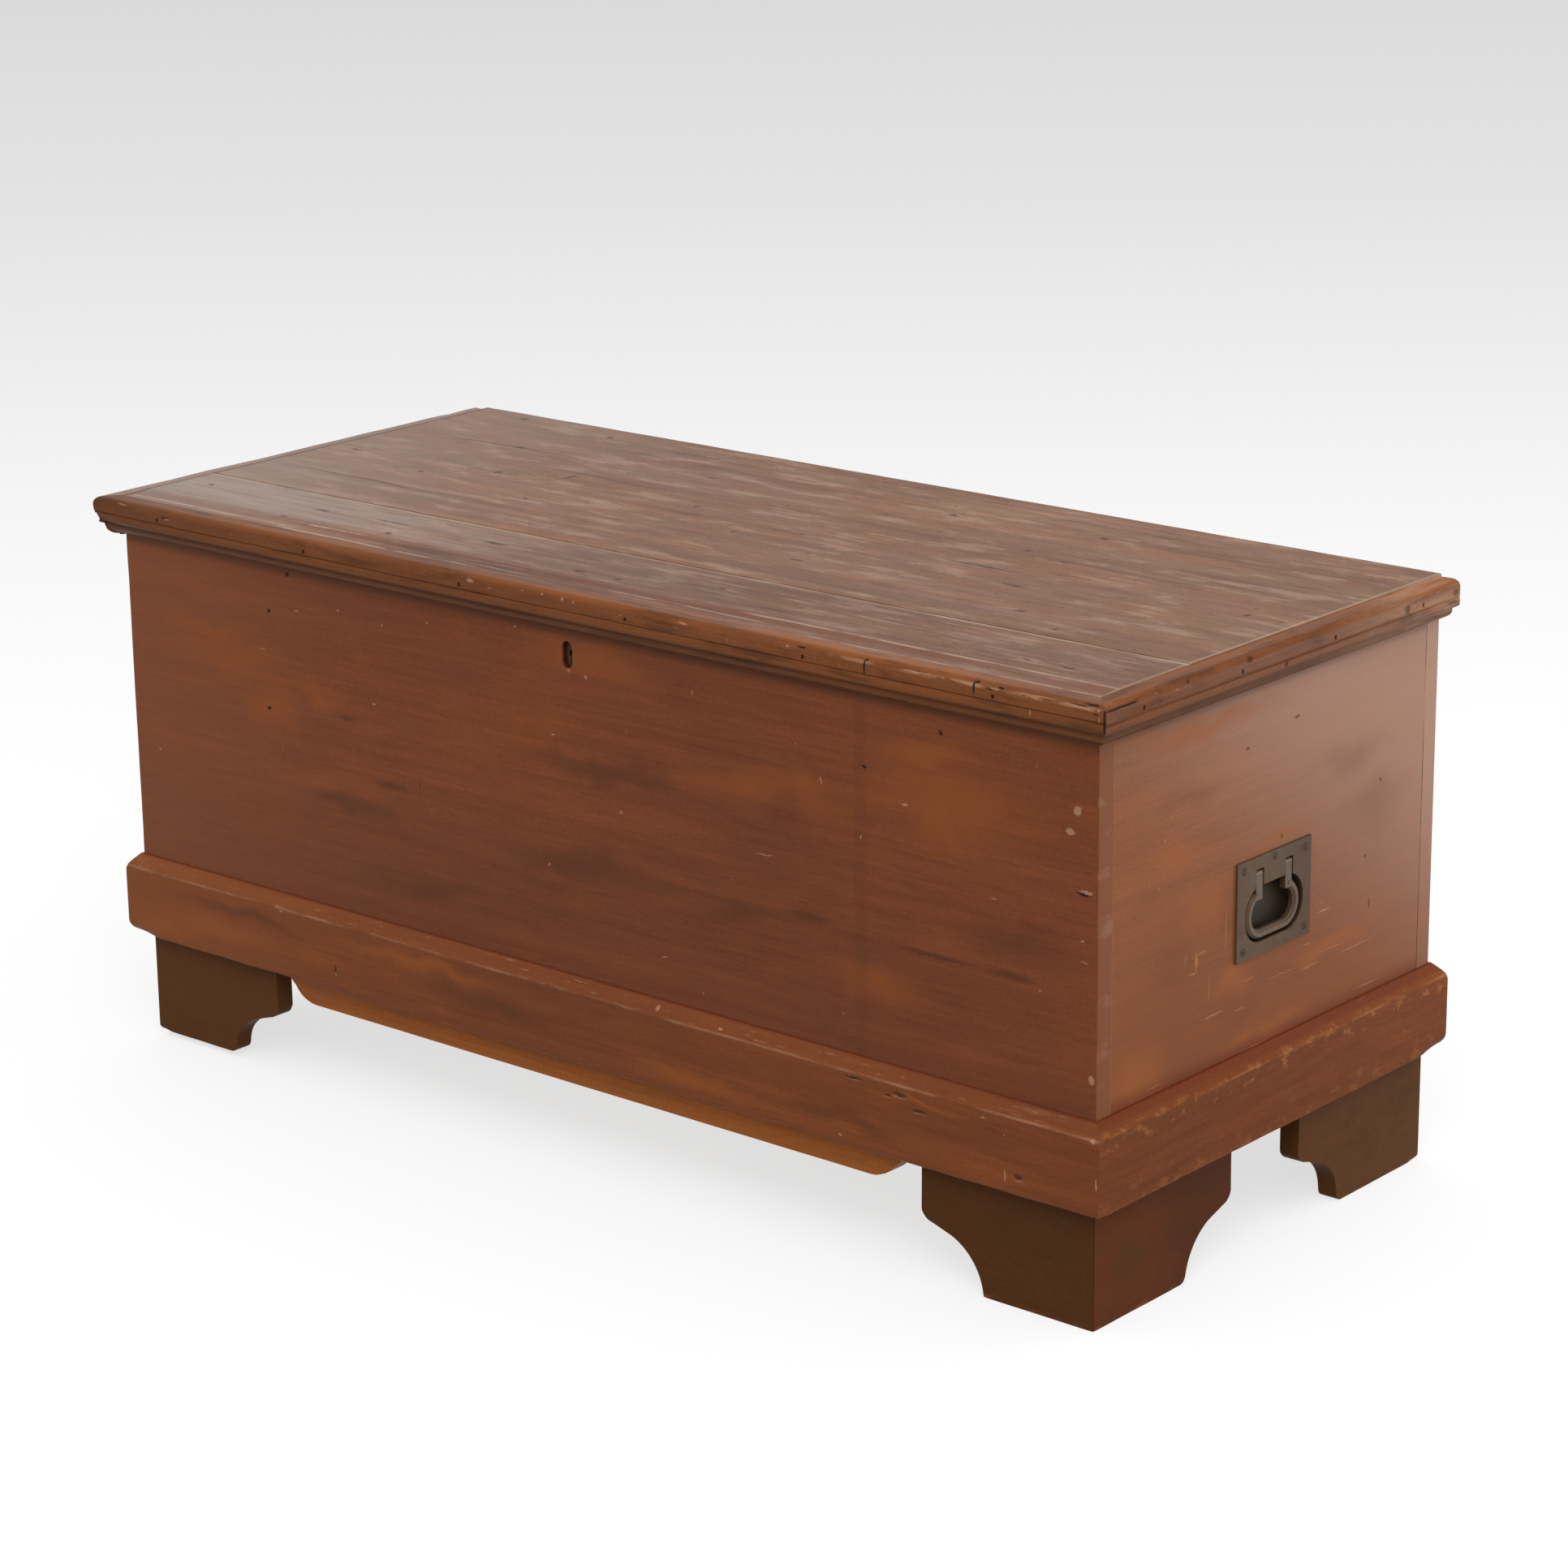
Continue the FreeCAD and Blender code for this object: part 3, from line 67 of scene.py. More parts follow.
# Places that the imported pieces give
FRONT_LOW, FRONT_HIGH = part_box("front_board")
BACK_LOW, BACK_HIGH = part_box("back_board")
LID_LOW, LID_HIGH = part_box("lid_back_board")
LID_FRONT_LOW, LID_FRONT_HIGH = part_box("lid_front_board")
NOSE_LOW, NOSE_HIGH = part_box("lid_front_moulding")
END_NOSE_LOW, END_NOSE_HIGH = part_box("lid_right_moulding")
SKIRT_LOW, SKIRT_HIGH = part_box("skirt_front")
SKIRT_END_LOW, SKIRT_END_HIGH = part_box("skirt_right")
FOOT_LOW, FOOT_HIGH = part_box("front_right_foot_face")
APRON_LOW, APRON_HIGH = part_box("apron_front")
PLATE_LOW, PLATE_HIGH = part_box("handle_plate_right")

BOARD = FRONT_HIGH.y - FRONT_LOW.y
# How much the lid's front board narrows to the left, a metre along it
LID_TAPER = 0.005
# How far the mouldings' quirk lies below their top, and the base moulding's edge below its top
QUIRK = 0.0139
SKIRT_BEVEL = 0.0117
# How far up and how deep the corners of the base moulding's bevel are worn
BEVEL_WEAR = Vector((0.006, 0.0013))
# The same for the lid moulding's front left corner, and how far below the top that is
NOSE_WEAR = Vector((0.012, 0.0042))
NOSE_STEP = 0.0225
# How far a bracket's toe stands back from its tip, how far it runs out at the floor and how high up
SCROLL_RUN = 0.0695
TOE_SPREAD = 0.004
TOE_RISE = 0.035
# How much the left front foot is worn short at the floor, and how high up that fades out
FOOT_WEAR = 0.0058
FOOT_RISE = 0.05
# How far the apron's scrolls draw in at the base moulding and at their foot, left and right
APRON_DRAW = {-1: (0.0143, 0.004), 1: (-0.015, -0.0064)}
# Half width, foot and top of the space round the keyhole
KEYHOLE = Vector((0.0075, 0.487, 0.519))
AXES = {"X": 0, "Y": 1, "Z": 2}
MILLIMETRE = 0.001
# How far a mark reaches into its face
MARK_DEPTH = 0.03
# Swings a metre of the noise that scatters pale flecks
FLECKS = (190.0, 190.0, 190.0)
# Width over which bare timber begins, and its roughness
BARE_EDGE = 0.0002
BARE_ROUGHNESS = 0.7
# Meshes: points this near are one, faces this flat are one, edges this sharp are arrises
MERGE_DISTANCE = 2e-5
FLAT_ANGLE = math.radians(0.6)
ARRIS_ANGLE = math.radians(40.0)
# Edges up to this steep are smoothed: on a board, and on the lid's hollowed front board
BOARD_ANGLE = math.radians(32.0)
HOLLOW_ANGLE = math.radians(60.0)
# Shortest edge that counts as an arris, and how near a plane its ends lie
SHORTEST_ARRIS = 0.04
ON_PLANE = 1e-4
# Places of the cuts beside a rounded corner, as parts of its radius
CORNER_PARTS = (0.06, 0.16, 0.3, 0.48, 0.7, 0.98, 1.5, 2.2)
# The planes that shaping leaves alone lie at least this far from those that it moves
MARGIN = 0.004
# How far the rubbed nose of the lid moulding reaches down
NOSE_BAND = 0.006
# How far the apron's scrolls reach from its ends, and over what length their drawing in fades
SCROLL_REACH = 0.07
SCROLL_FADE = 0.06
SENSOR_WIDTH = 36.0

# Marks of use: middle and half sizes on a face, in millimetres. Front board: along X, then Z
FRONT_GLOW = [
    (-480, 450, 90, 22), (-455, 422, 100, 30), (-400, 385, 60, 45), (-330, 412, 60, 18),
    (235, 425, 150, 35), (440, 440, 150, 45), (420, 485, 90, 25), (20, 500, 120, 30),
    (360, 265, 80, 30),
]
FRONT_STAINS = [
    (-190, 242, 90, 18), (210, 296, 80, 16), (50, 400, 160, 18), (-300, 300, 120, 20),
    (520, 330, 80, 30), (0, 300, 160, 22),
]
FRONT_SMUDGES = [
    (-236, 335, 34, 6), (285, 312, 40, 8), (430, 306, 60, 4), (510, 306, 40, 6), (-292, 392, 20, 3),
    (-197, 342, 1.6, 14),
]
FRONT_SCRATCHES = [
    (61.8, 366, 1.8, 1.8), (-30, 298, 1.6, 2), (158, 213, 1.6, 1.8), (234, 360, 13, 0.8),
    (394, 437, 5, 1.6), (22, 487, 2.6, 1.8), (152, 495, 1, 3), (-65, 520, 2.4, 1.4),
    (-408, 442.5, 5, 0.9), (-566, 312, 1.6, 2), (578, 466, 4.5, 6), (571, 447, 6, 4.2),
    (588, 397, 8, 2.2), (584, 353, 3.4, 1.2), (586, 335, 5, 1.1), (595, 232, 4, 5),
    (300, 441, 1.2, 4), (112, 238, 4, 0.9), (-20, 425, 3, 1), (490, 372, 5, 0.9),
    (-357, 488, 3, 1.2), (-300, 498, 2.8, 1.1), (-240, 493, 1.2, 2.2), (-180, 505, 2, 1.6),
    (-255, 413, 3, 0.9), (345, 398, 1, 3), (540, 300, 1.4, 2.2),
]
KEYHOLE_CHIP = [(1, 490, 3.6, 3.4)]
FRONT_HOLES = [
    (-396.6, 482.4, 2.8, 2.4), (-402.2, 383.5, 3.8, 2.2), (-367.7, 522.5, 2.6, 2.2),
    (433.2, 507.6, 3, 2.4), (349.2, 462, 3.2, 1.8), (585, 394.5, 10, 1.2),
]

# End boards: along Y, then Z
END_GLOW = [
    (-110, 508, 160, 14), (-205, 520, 50, 16), (-100, 345, 60, 40), (-200, 220, 70, 40),
    (10, 385, 80, 12), (-150, 405, 60, 18), (100, 262, 110, 14), (-10, 205, 100, 12),
    (-60, 270, 50, 20),
]
END_STAINS = [
    (-150, 300, 60, 35), (-45, 235, 45, 18), (160, 380, 80, 40), (-130, 455, 70, 20),
    (120, 430, 90, 20), (-20, 205, 20, 12),
]
END_SCRATCHES = [
    (-112, 300, 3, 12), (-118, 290, 10, 1.4), (-104, 306, 9, 1.2), (-85, 243.5, 22, 1.3),
    (-45, 238, 12, 1), (140, 247.5, 40, 1), (65, 248, 18, 1.2), (-172, 203, 18, 1),
    (-68, 315, 1.1, 30), (85, 295, 14, 1.4), (82, 303, 3, 1.2), (-168, 380, 1.8, 1.8),
    (-160, 421, 2, 1.4), (160, 205, 24, 1.2), (-20, 197, 30, 1.2), (20, 253, 26, 0.8),
    (100, 256, 30, 0.8), (-30, 262, 14, 0.8), (60, 270, 9, 0.9), (-92, 270, 0.8, 14),
    (-128, 306, 0.8, 10),
]
END_HOLES = [
    (-40, 474, 3.4, 1.8), (35, 486, 4.2, 1.8), (172, 396, 2.6, 2.2), (150, 329, 1.8, 2.4),
    (15, 381.5, 2, 3), (158, 282, 1.6, 6),
]

# Lid: along X, then Y
LID_STREAKS = [
    (-420, -64, 200, 5), (360, 90, 180, 6), (470, 130, 150, 6), (250, 30, 60, 4),
    (-250, 85, 200, 8), (150, -110, 300, 8), (-450, 135, 160, 6),
]
LID_DENTS = [
    (-527, 242, 10, 5), (-390, 228, 6, 3), (-430, 137, 9, 6), (-180, 151, 11, 3), (-296, 68, 4, 14),
    (-370, 40, 6, 8), (-560, 28, 13, 3), (-268, -27, 6, 3), (-14, -7, 6, 3), (110, 172, 6, 5),
    (325, 219, 16, 3), (282, 183, 7, 6), (253, 101, 7, 4), (307, 87, 8, 3), (250, 29, 42, 3),
    (322, -10, 22, 5), (383, -78, 9, 6), (548, 30, 6, 6), (444, -110, 4, 5), (-110, 48, 4, 6),
    (-435, -4, 6, 3), (-300, -179, 32, 2), (-390, -185, 12, 4), (-160, -180, 20, 4),
    (-24, -210, 10, 5), (24, -212, 8, 5), (-402, -224, 6, 3), (-270, -213, 6, 4), (485, -203, 8, 3),
    (530, -205, 8, 3), (122, -178, 6, 3), (106, -56, 18, 2), (-560, -175, 6, 4),
]
# Ridges of the worn front edge, in metres: inset, width, wander, seed, start and end along X
LID_RIDGES = [
    (0.01, 0.0028, 0.01, 1.0, -0.6, -0.37), (0.003, 0.0026, 0.008, 2.0, -0.38, -0.12),
    (0.024, 0.0026, 0.008, 3.0, -0.37, -0.28), (0.027, 0.003, 0.004, 4.0, 0.2, 0.61),
    (0.001, 0.0034, 0.006, 5.0, 0.28, 0.61), (0.014, 0.0022, 0.008, 6.0, 0.0, 0.22),
]

# Lid moulding's shadow lines: places below its top, widths and strengths
MOULDING_SHADOWS = [
    (0.016, 0.0012, 0.38), (0.029, 0.0014, 0.28), (0.0365, 0.0024, 0.3), (0.0405, 0.0016, 0.45),
]
# Marks of use again. Lid moulding: along X, or Y on the ends, then Z
MOULDING_SPLITS = [
    (367.2, 559, 1.3, 9), (369, 565.5, 2.2, 1.2), (485, 561, 1.3, 9), (488, 566, 2.4, 1.2),
    (513, 565.4, 4, 0.8), (502, 562.5, 3.4, 0.7), (606, 566.8, 10, 0.7), (593, 565, 12, 0.5),
    (612, 560, 3, 0.8), (-515, 561, 8, 1), (297, 564.5, 6, 0.8),
]
MOULDING_CHIPS = [
    (15, 563, 2.4, 2.4), (29, 562.5, 1.6, 2.2), (-100, 562.5, 6, 2.6), (-10, 564, 2.6, 1.4),
    (212.5, 557.5, 0.8, 3), (160, 564, 8, 1.6), (544, 550, 1.4, 3.4), (-513, 560, 5, 1.4),
    (-580, 565.5, 9, 1), (430, 564, 30, 0.9), (550, 565, 30, 0.9), (507, 564, 7, 1.4),
    (614, 564, 1.6, 2.2), (615, 556, 1.2, 4),
]
END_MOULDING_KNOTS = [
    (-70, 564, 6, 3), (-16, 548, 5, 3), (175, 556, 6, 6), (255, 556, 6, 4), (-160, 564, 4, 2),
    (-200, 556, 1.2, 1.2), (250, 548, 12, 1.4),
]

# Base moulding's front: along X, then Z
SKIRT_GLOW = [
    (-480, 140, 120, 20), (-560, 130, 60, 16), (420, 172, 70, 5), (150, 130, 100, 12),
    (-200, 168, 160, 10),
]
SKIRT_STAINS = [
    (-440, 165, 140, 10), (-100, 150, 140, 14), (330, 135, 120, 14),
]
SKIRT_DENTS = [
    (398, 175.5, 12, 2.8), (345, 179, 13, 1.4), (420, 165, 11, 1.6), (528, 131, 7, 3.4),
    (-310, 137, 2, 6), (385, 172, 6, 1.4),
]
SKIRT_CHIPS = [
    (187.5, 188, 3, 1.8), (110, 190, 3, 3), (513.5, 130, 1.2, 9), (490, 177, 5, 1),
    (-385, 182, 4, 1.2), (606, 183.5, 4, 3), (330, 122, 3, 2), (610.5, 145, 1.2, 8),
]


# ---------------------------------------------------------------- settings


def shade(name, description, red, green, blue):
    """A colour setting, written as it looks on screen."""
    return FloatVectorProperty(
        name=name, description=description, subtype="COLOR_GAMMA", size=3, min=0.0, max=1.0,
        default=(red, green, blue),
    )


def length(name, description, metres):
    """A length setting in metres."""
    return FloatProperty(
        name=name, description=description, subtype="DISTANCE", unit="LENGTH", default=metres,
        precision=4,
    )


def bearing(name, description, degrees):
    """An angle setting, given in degrees."""
    return FloatProperty(
        name=name, description=description, subtype="ANGLE", unit="ROTATION",
        default=math.radians(degrees),
    )


def dial(name, description, value, unit="NONE"):
    """A plain setting, or a lamp's power."""
    return FloatProperty(name=name, description=description, unit=unit, default=value)


class ChestColours(bpy.types.PropertyGroup):
    """Colours of the chest's timber and iron."""

    front: shade("Front", "Stain of the front board", 0.45, 0.24, 0.135)
    front_glow: shade("Front glow", "Worn stain of the front board", 0.54, 0.29, 0.13)
    # Also laid as painted shade towards the floor of the front board
    front_deep: shade("Front deep", "Dark stain of the front board", 0.33, 0.185, 0.11)
    # Also laid as painted sheen towards the left of the front board
    end: shade("End", "Stain of the end boards", 0.54, 0.325, 0.2)
    end_glow: shade("End glow", "Worn stain of the end boards", 0.61, 0.35, 0.18)
    # Also laid as painted shade low at the front of the end boards
    end_deep: shade("End deep", "Dark stain of the end boards", 0.43, 0.25, 0.16)
    # Painted sheen: the paler, greyer tone laid high up and towards the back of the end boards
    end_sheen: shade("End haze", "Dulled polish of the end boards", 0.74, 0.6, 0.52)
    end_grain: shade("End grain", "Sawn ends of the front and back boards", 0.51, 0.305, 0.185)
    lid: shade("Lid", "Stain of the lid", 0.49, 0.328, 0.228)
    lid_glow: shade("Lid glow", "Worn stain of the lid", 0.6, 0.415, 0.285)
    lid_deep: shade("Lid deep", "Dark stain of the lid", 0.39, 0.25, 0.175)
    lid_edge: shade("Lid edge", "Rubbed front edge of the lid", 0.48, 0.265, 0.145)
    # Painted sheen: the greyer, paler tone laid over the lid's left end, along its front board and
    # on the left end moulding's nose
    lid_sheen: shade("Lid grey", "Bleached left end of the lid", 0.615, 0.55, 0.505)
    lid_olive: shade("Lid olive", "Greenish streaks of the lid", 0.49, 0.385, 0.27)
    lid_lilac: shade("Lid lilac", "Purplish streaks of the lid", 0.52, 0.38, 0.335)
    lid_pale: shade("Lid pale", "Ridges and arrises of the lid", 0.74, 0.64, 0.55)
    lid_dirt: shade("Lid dirt", "Dents and cracks of the lid", 0.27, 0.16, 0.115)
    moulding: shade("Moulding", "Stain of the lid moulding", 0.46, 0.265, 0.14)
    moulding_glow: shade("Moulding glow", "Honey of the moulding's nose", 0.56, 0.32, 0.13)
    # Also laid as painted shadow on the case boards just under the lid moulding
    moulding_deep: shade("Moulding deep", "Quirks of the lid moulding", 0.3, 0.175, 0.1)
    skirt: shade("Skirt", "Stain of the base moulding", 0.44, 0.235, 0.12)
    skirt_glow: shade("Skirt glow", "Worn edges of the base moulding", 0.56, 0.31, 0.14)
    skirt_deep: shade("Skirt deep", "Dark stain of the base moulding", 0.32, 0.18, 0.1)
    foot: shade("Foot", "Paint of the bracket feet", 0.31, 0.188, 0.092)
    foot_side: shade("Foot side", "Redder paint of the near foot's side", 0.37, 0.185, 0.075)
    foot_rear: shade("Foot rear", "Paint of the rear feet", 0.355, 0.218, 0.105)
    foot_glow: shade("Foot glow", "Worn edges of the bracket feet", 0.58, 0.34, 0.18)
    foot_deep: shade("Foot deep", "Dark paint of the bracket feet", 0.23, 0.135, 0.075)
    apron: shade("Apron", "Stain of the apron board", 0.6, 0.34, 0.145)
    bare: shade("Bare pine", "Unfinished boards inside the chest", 0.72, 0.56, 0.38)
    bare_deep: shade("Bare pine deep", "Aged streaks of the bare boards", 0.56, 0.39, 0.24)
    # Also laid as painted highlight on the lower lips of the base moulding's dents, and as painted
    # sheen on the lid moulding's worn line
    wear_and_highlight: shade("Wear", "Timber that shows where the finish has gone", 0.73, 0.56, 0.44)
    scratch: shade("Scratch", "Scratches through the stain of the ends", 0.74, 0.48, 0.29)
    end_red: shade("End red", "Unfaded red stain beside the case's ends", 0.4, 0.165, 0.095)
    # Also laid as painted shade: in the lid moulding's quirks, inside the keyhole, in the base
    # moulding's dents, along the tops of the apron and feet, and towards the back of the iron
    dirt_and_shade: shade("Dirt", "Old dirt in dents, joints and nail holes", 0.12, 0.075, 0.055)
    iron: shade("Iron", "Patina of the handles", 0.34, 0.262, 0.185)
    pan: shade("Pan", "Dark pans behind the handles", 0.2, 0.19, 0.15)
    iron_bright: shade("Bright iron", "Iron rubbed bright by hands", 0.5, 0.44, 0.37)
    rust: shade("Rust", "Rust in corners of the iron", 0.33, 0.2, 0.12)
    paper: shade("Floor", "Pale floor", 0.62, 0.62, 0.62)


class ChestSizes(bpy.types.PropertyGroup):
    """Sizes of the chest's wear."""

    arris: length("Arris", "Width of a board's rubbed edge", 0.0014)
    slice: length("Slice", "Distance between the cuts along a worn edge", 0.009)
    worn_front: length("Worn front", "Width of the lid's worn front edge", 0.031)
    worn_depth: length("Worn depth", "Depth of the lid's worn front edge", 0.0016)
    skirt_corner: length("Skirt corner", "Rounding of the base moulding's low corners", 0.012)
    lid_corner: length("Lid corner", "Rounding of the lid moulding's rear ends", 0.007)
    foot_corner: length("Foot corner", "Rounding of the feet's low corners", 0.005)
    toe: length("Toe", "Rounding of the feet's toes", 0.008)


class StudioSettings(bpy.types.PropertyGroup):
    """Floor, lamps and camera."""

    floor_span: length("Floor span", "Side of the floor", 60.0)
    floor_lit: dial("Floor lit", "Brightness that the lamps give the floor", 0.31)
    azimuth: bearing("Azimuth", "Camera's direction round the chest", 40.61)
    elevation: bearing("Elevation", "Camera's angle above the horizon", 16.89)
    roll: bearing("Roll", "Camera's lean", -0.73)
    stand: FloatVectorProperty(
        name="Stand", description="Camera's place", subtype="TRANSLATION", unit="LENGTH", size=3,
        default=(2.623, -3.01395, 1.533),
    )
    lens: dial("Lens", "Focal length in millimetres", 99.37)
    sky: dial("Sky", "Strength of the room's light", 0.92)
    fill: dial("Fill", "Power of the lamp before the near corner", 60.0, "POWER")
    rim: dial("Rim", "Power of the low lamp beyond the right end", 9.0, "POWER")


# ---------------------------------------------------------------- materials


def on_screen(name):
    """The linear colour that a node needs for one of the colour settings."""
    setting = getattr(bpy.context.scene.chest_colours, name)
    linear = Color(setting).from_srgb_to_scene_linear()
    return (linear.r, linear.g, linear.b, 1.0)


class Finish:
    """One material, laid on in coats: colour, roughness and relief in metres."""

    def __init__(self, name, colour, roughness, run="X"):
        self.material = bpy.data.materials.new(name)
        self.material.use_nodes = True
        self.tree = self.material.node_tree
        self.tree.nodes.clear()
        self.place = self.add("ShaderNodeTexCoord").outputs["Object"]
        split = self.add("ShaderNodeSeparateXYZ", Vector=self.place)
        self.run = run
        self.axis = {axis: split.outputs[axis] for axis in "XYZ"}
        self.x, self.y, self.z = self.axis.values()
        self.colour = on_screen(colour)
        self.roughness = roughness
        self.relief = 0.0

    def add(self, kind, **inputs):
        """A node with its inputs set or linked."""
        node = self.tree.nodes.new(kind)
        for name, value in inputs.items():
            self.set(node.inputs[name], value)
        return node

    def set(self, socket, value):
        """Links a socket, or gives it a plain value."""
        if isinstance(value, bpy.types.NodeSocket):
            self.tree.links.new(value, socket)
        else:
            socket.default_value = value

    def math(self, operation, *values):
        """The result of a maths node."""
        node = self.tree.nodes.new("ShaderNodeMath")
        node.operation = operation
        for socket, value in zip(node.inputs, values):
            self.set(socket, value)
        return node.outputs[0]

    def vector(self, operation, *values):
        """The result of a vector maths node."""
        node = self.tree.nodes.new("ShaderNodeVectorMath")
        node.operation = operation
        for socket, value in zip(node.inputs, values):
            self.set(socket, value)
        single = operation in ("LENGTH", "DISTANCE", "DOT_PRODUCT")
        return node.outputs["Value" if single else "Vector"]

    def window(self, value, start, end):
        """0 where value is at start, 1 where it is at end, eased between."""
        node = self.tree.nodes.new("ShaderNodeMapRange")
        node.interpolation_type = "SMOOTHSTEP"
        self.set(node.inputs["Value"], value)
        node.inputs["From Min"].default_value = start
        node.inputs["From Max"].default_value = end
        return node.outputs["Result"]

    def beside(self, value, start, end):
        """As window, for how far a value is from 0 on either side."""
        return self.window(self.math("ABSOLUTE", value), start, end)

    def noise(self, swings, detail=3.0, harshness=0.5, seed=0.0):
        """Noise from 0 to 1 with that many swings a metre along each axis."""
        node = self.add(
            "ShaderNodeTexNoise", Vector=self.vector("MULTIPLY", self.place, swings), Scale=1.0,
            Detail=detail, Roughness=harshness,
        )
        node.noise_dimensions = "4D"
        node.inputs["W"].default_value = seed
        return node.outputs["Fac"]

    def grain(self, lengthwise, across, detail, harshness, seed):
        """Noise drawn out along the timber: swings a metre along it and across it."""
        return self.noise(along(self.run, lengthwise, across), detail, harshness, seed)

    def mix(self, amount, first, second, kind="RGBA"):
        """A blend of two colours, or of two numbers where kind is FLOAT."""
        node = self.tree.nodes.new("ShaderNodeMix")
        node.data_type = kind
        for name, value in (("Factor", amount), ("A", first), ("B", second)):
            socket = next(s for s in node.inputs if s.name == name and s.enabled)
            self.set(socket, value)
        return next(socket for socket in node.outputs if socket.enabled)

    def coat(self, mask, colour, strength=1.0, roughness=None):
        """Lays a colour, and a roughness if given, where the mask is."""
        amount = self.math("MULTIPLY", mask, strength)
        self.colour = self.mix(amount, self.colour, on_screen(colour))
        if roughness is not None:
            self.roughness = self.mix(amount, self.roughness, roughness, "FLOAT")

    def press(self, mask, colour, strength, height, roughness=None):
        """Lays a colour where the mask is, and lifts it by a height."""
        self.coat(mask, colour, strength, roughness)
        if height:
            self.raise_by(mask, height)

    def patch(self, value, start, end, colour, strength=1.0, roughness=None, within=None):
        """Lays a colour where a value has passed from start to end, within another mask."""
        mask = self.window(value, start, end)
        if within is not None:
            mask = self.both(within, mask)
        self.coat(mask, colour, strength, roughness)

    def tone(self, value, swing):
        """Lightens and darkens by a 0 to 1 value about its middle."""
        gain = self.math("MULTIPLY_ADD", value, swing, 1.0 - 0.5 * swing)
        node = self.tree.nodes.new("ShaderNodeVectorMath")
        node.operation = "SCALE"
        self.set(node.inputs[0], self.colour)
        self.set(node.inputs["Scale"], gain)
        self.colour = node.outputs["Vector"]

    def raise_by(self, mask, height):
        """Lifts the surface where the mask is, or sinks it by a negative height."""
        self.relief = self.math("MULTIPLY_ADD", mask, height, self.relief)

    def band(self, axis, start, end, blur):
        """1 between two planes across an axis."""
        value = self.axis[axis]
        rise = self.window(value, start - blur, start + blur)
        fall = self.window(value, end + blur, end - blur)
        return self.math("MULTIPLY", rise, fall)

    def line(self, axis, place, width, wander=0.0, swings=(6.0, 6.0, 6.0), seed=0.0):
        """1 on a thin line across an axis, which may wander."""
        value = self.axis[axis]
        if wander:
            value = self.math("MULTIPLY_ADD", self.noise(swings, 3.0, 0.55, seed), wander, value)
            place = place + 0.5 * wander
        return self.beside(self.math("SUBTRACT", value, place), width, width * 0.2)

    def both(self, first, second):
        """Where two masks are both 1."""
        return self.math("MULTIPLY", first, second)

    def ragged(self, swings, amount):
        """The place, shaken so that the edges of marks come out uneven."""
        node = self.add("ShaderNodeTexNoise", Vector=self.place, Scale=swings, Detail=3.0)
        shake = self.vector("SUBTRACT", node.outputs["Color"], (0.5, 0.5, 0.5))
        return self.vector("MULTIPLY_ADD", shake, (amount, amount, amount), self.place)

    def mark(self, face, marks, place, core, colour, strength, height=0.0, roughness=None):
        """Colours the ovals of a list on a face, an axis and its level, and lifts them a height."""
        axis, level = face
        mask = 0.0
        for oval in marks:
            first, second, wide, tall = (MILLIMETRE * number for number in oval)
            centre, reach = [first, second], [1.0 / wide, 1.0 / tall]
            centre.insert(AXES[axis], level)
            reach.insert(AXES[axis], 1.0 / MARK_DEPTH)
            away = self.vector("MULTIPLY", self.vector("SUBTRACT", place, centre), reach)
            inside = self.window(self.vector("LENGTH", away), 1.0, core)
            mask = self.math("MAXIMUM", mask, inside)
        self.press(mask, colour, strength, height, roughness)

    def bare(self, inside):
        """Bare timber where a mask is."""
        streak = self.grain(2.0, 55.0, 4.0, 0.6, 31.0)
        bare = self.mix(streak, on_screen("bare_deep"), on_screen("bare"))
        self.colour = self.mix(inside, self.colour, bare)

    def bare_past(self, value, place, outwards):
        """Bare, rougher timber where a value is past a place, on the side away from outwards."""
        inside = self.window(value, place, place - outwards * BARE_EDGE)
        self.bare(inside)
        self.roughness = self.mix(inside, self.roughness, BARE_ROUGHNESS, "FLOAT")

    def done(self, metallic=0.0, specular=0.3):
        """Joins the coats to one shader."""
        shader = self.add("ShaderNodeBsdfPrincipled", **{"Base Color": self.colour})
        self.set(shader.inputs["Roughness"], self.roughness)
        shader.inputs["Metallic"].default_value = metallic
        shader.inputs["Specular IOR Level"].default_value = specular
        bump = self.add("ShaderNodeBump", Height=self.relief, Strength=1.0, Distance=1.0)
        self.set(shader.inputs["Normal"], bump.outputs["Normal"])
        output = self.add("ShaderNodeOutputMaterial")
        self.set(output.inputs["Surface"], shader.outputs["BSDF"])
        return self.material


def along(axis, grain, across):
    """Swings a metre for a pattern that runs along one axis."""
    swings = [across, across, across]
    swings[AXES[axis]] = grain
    return tuple(swings)


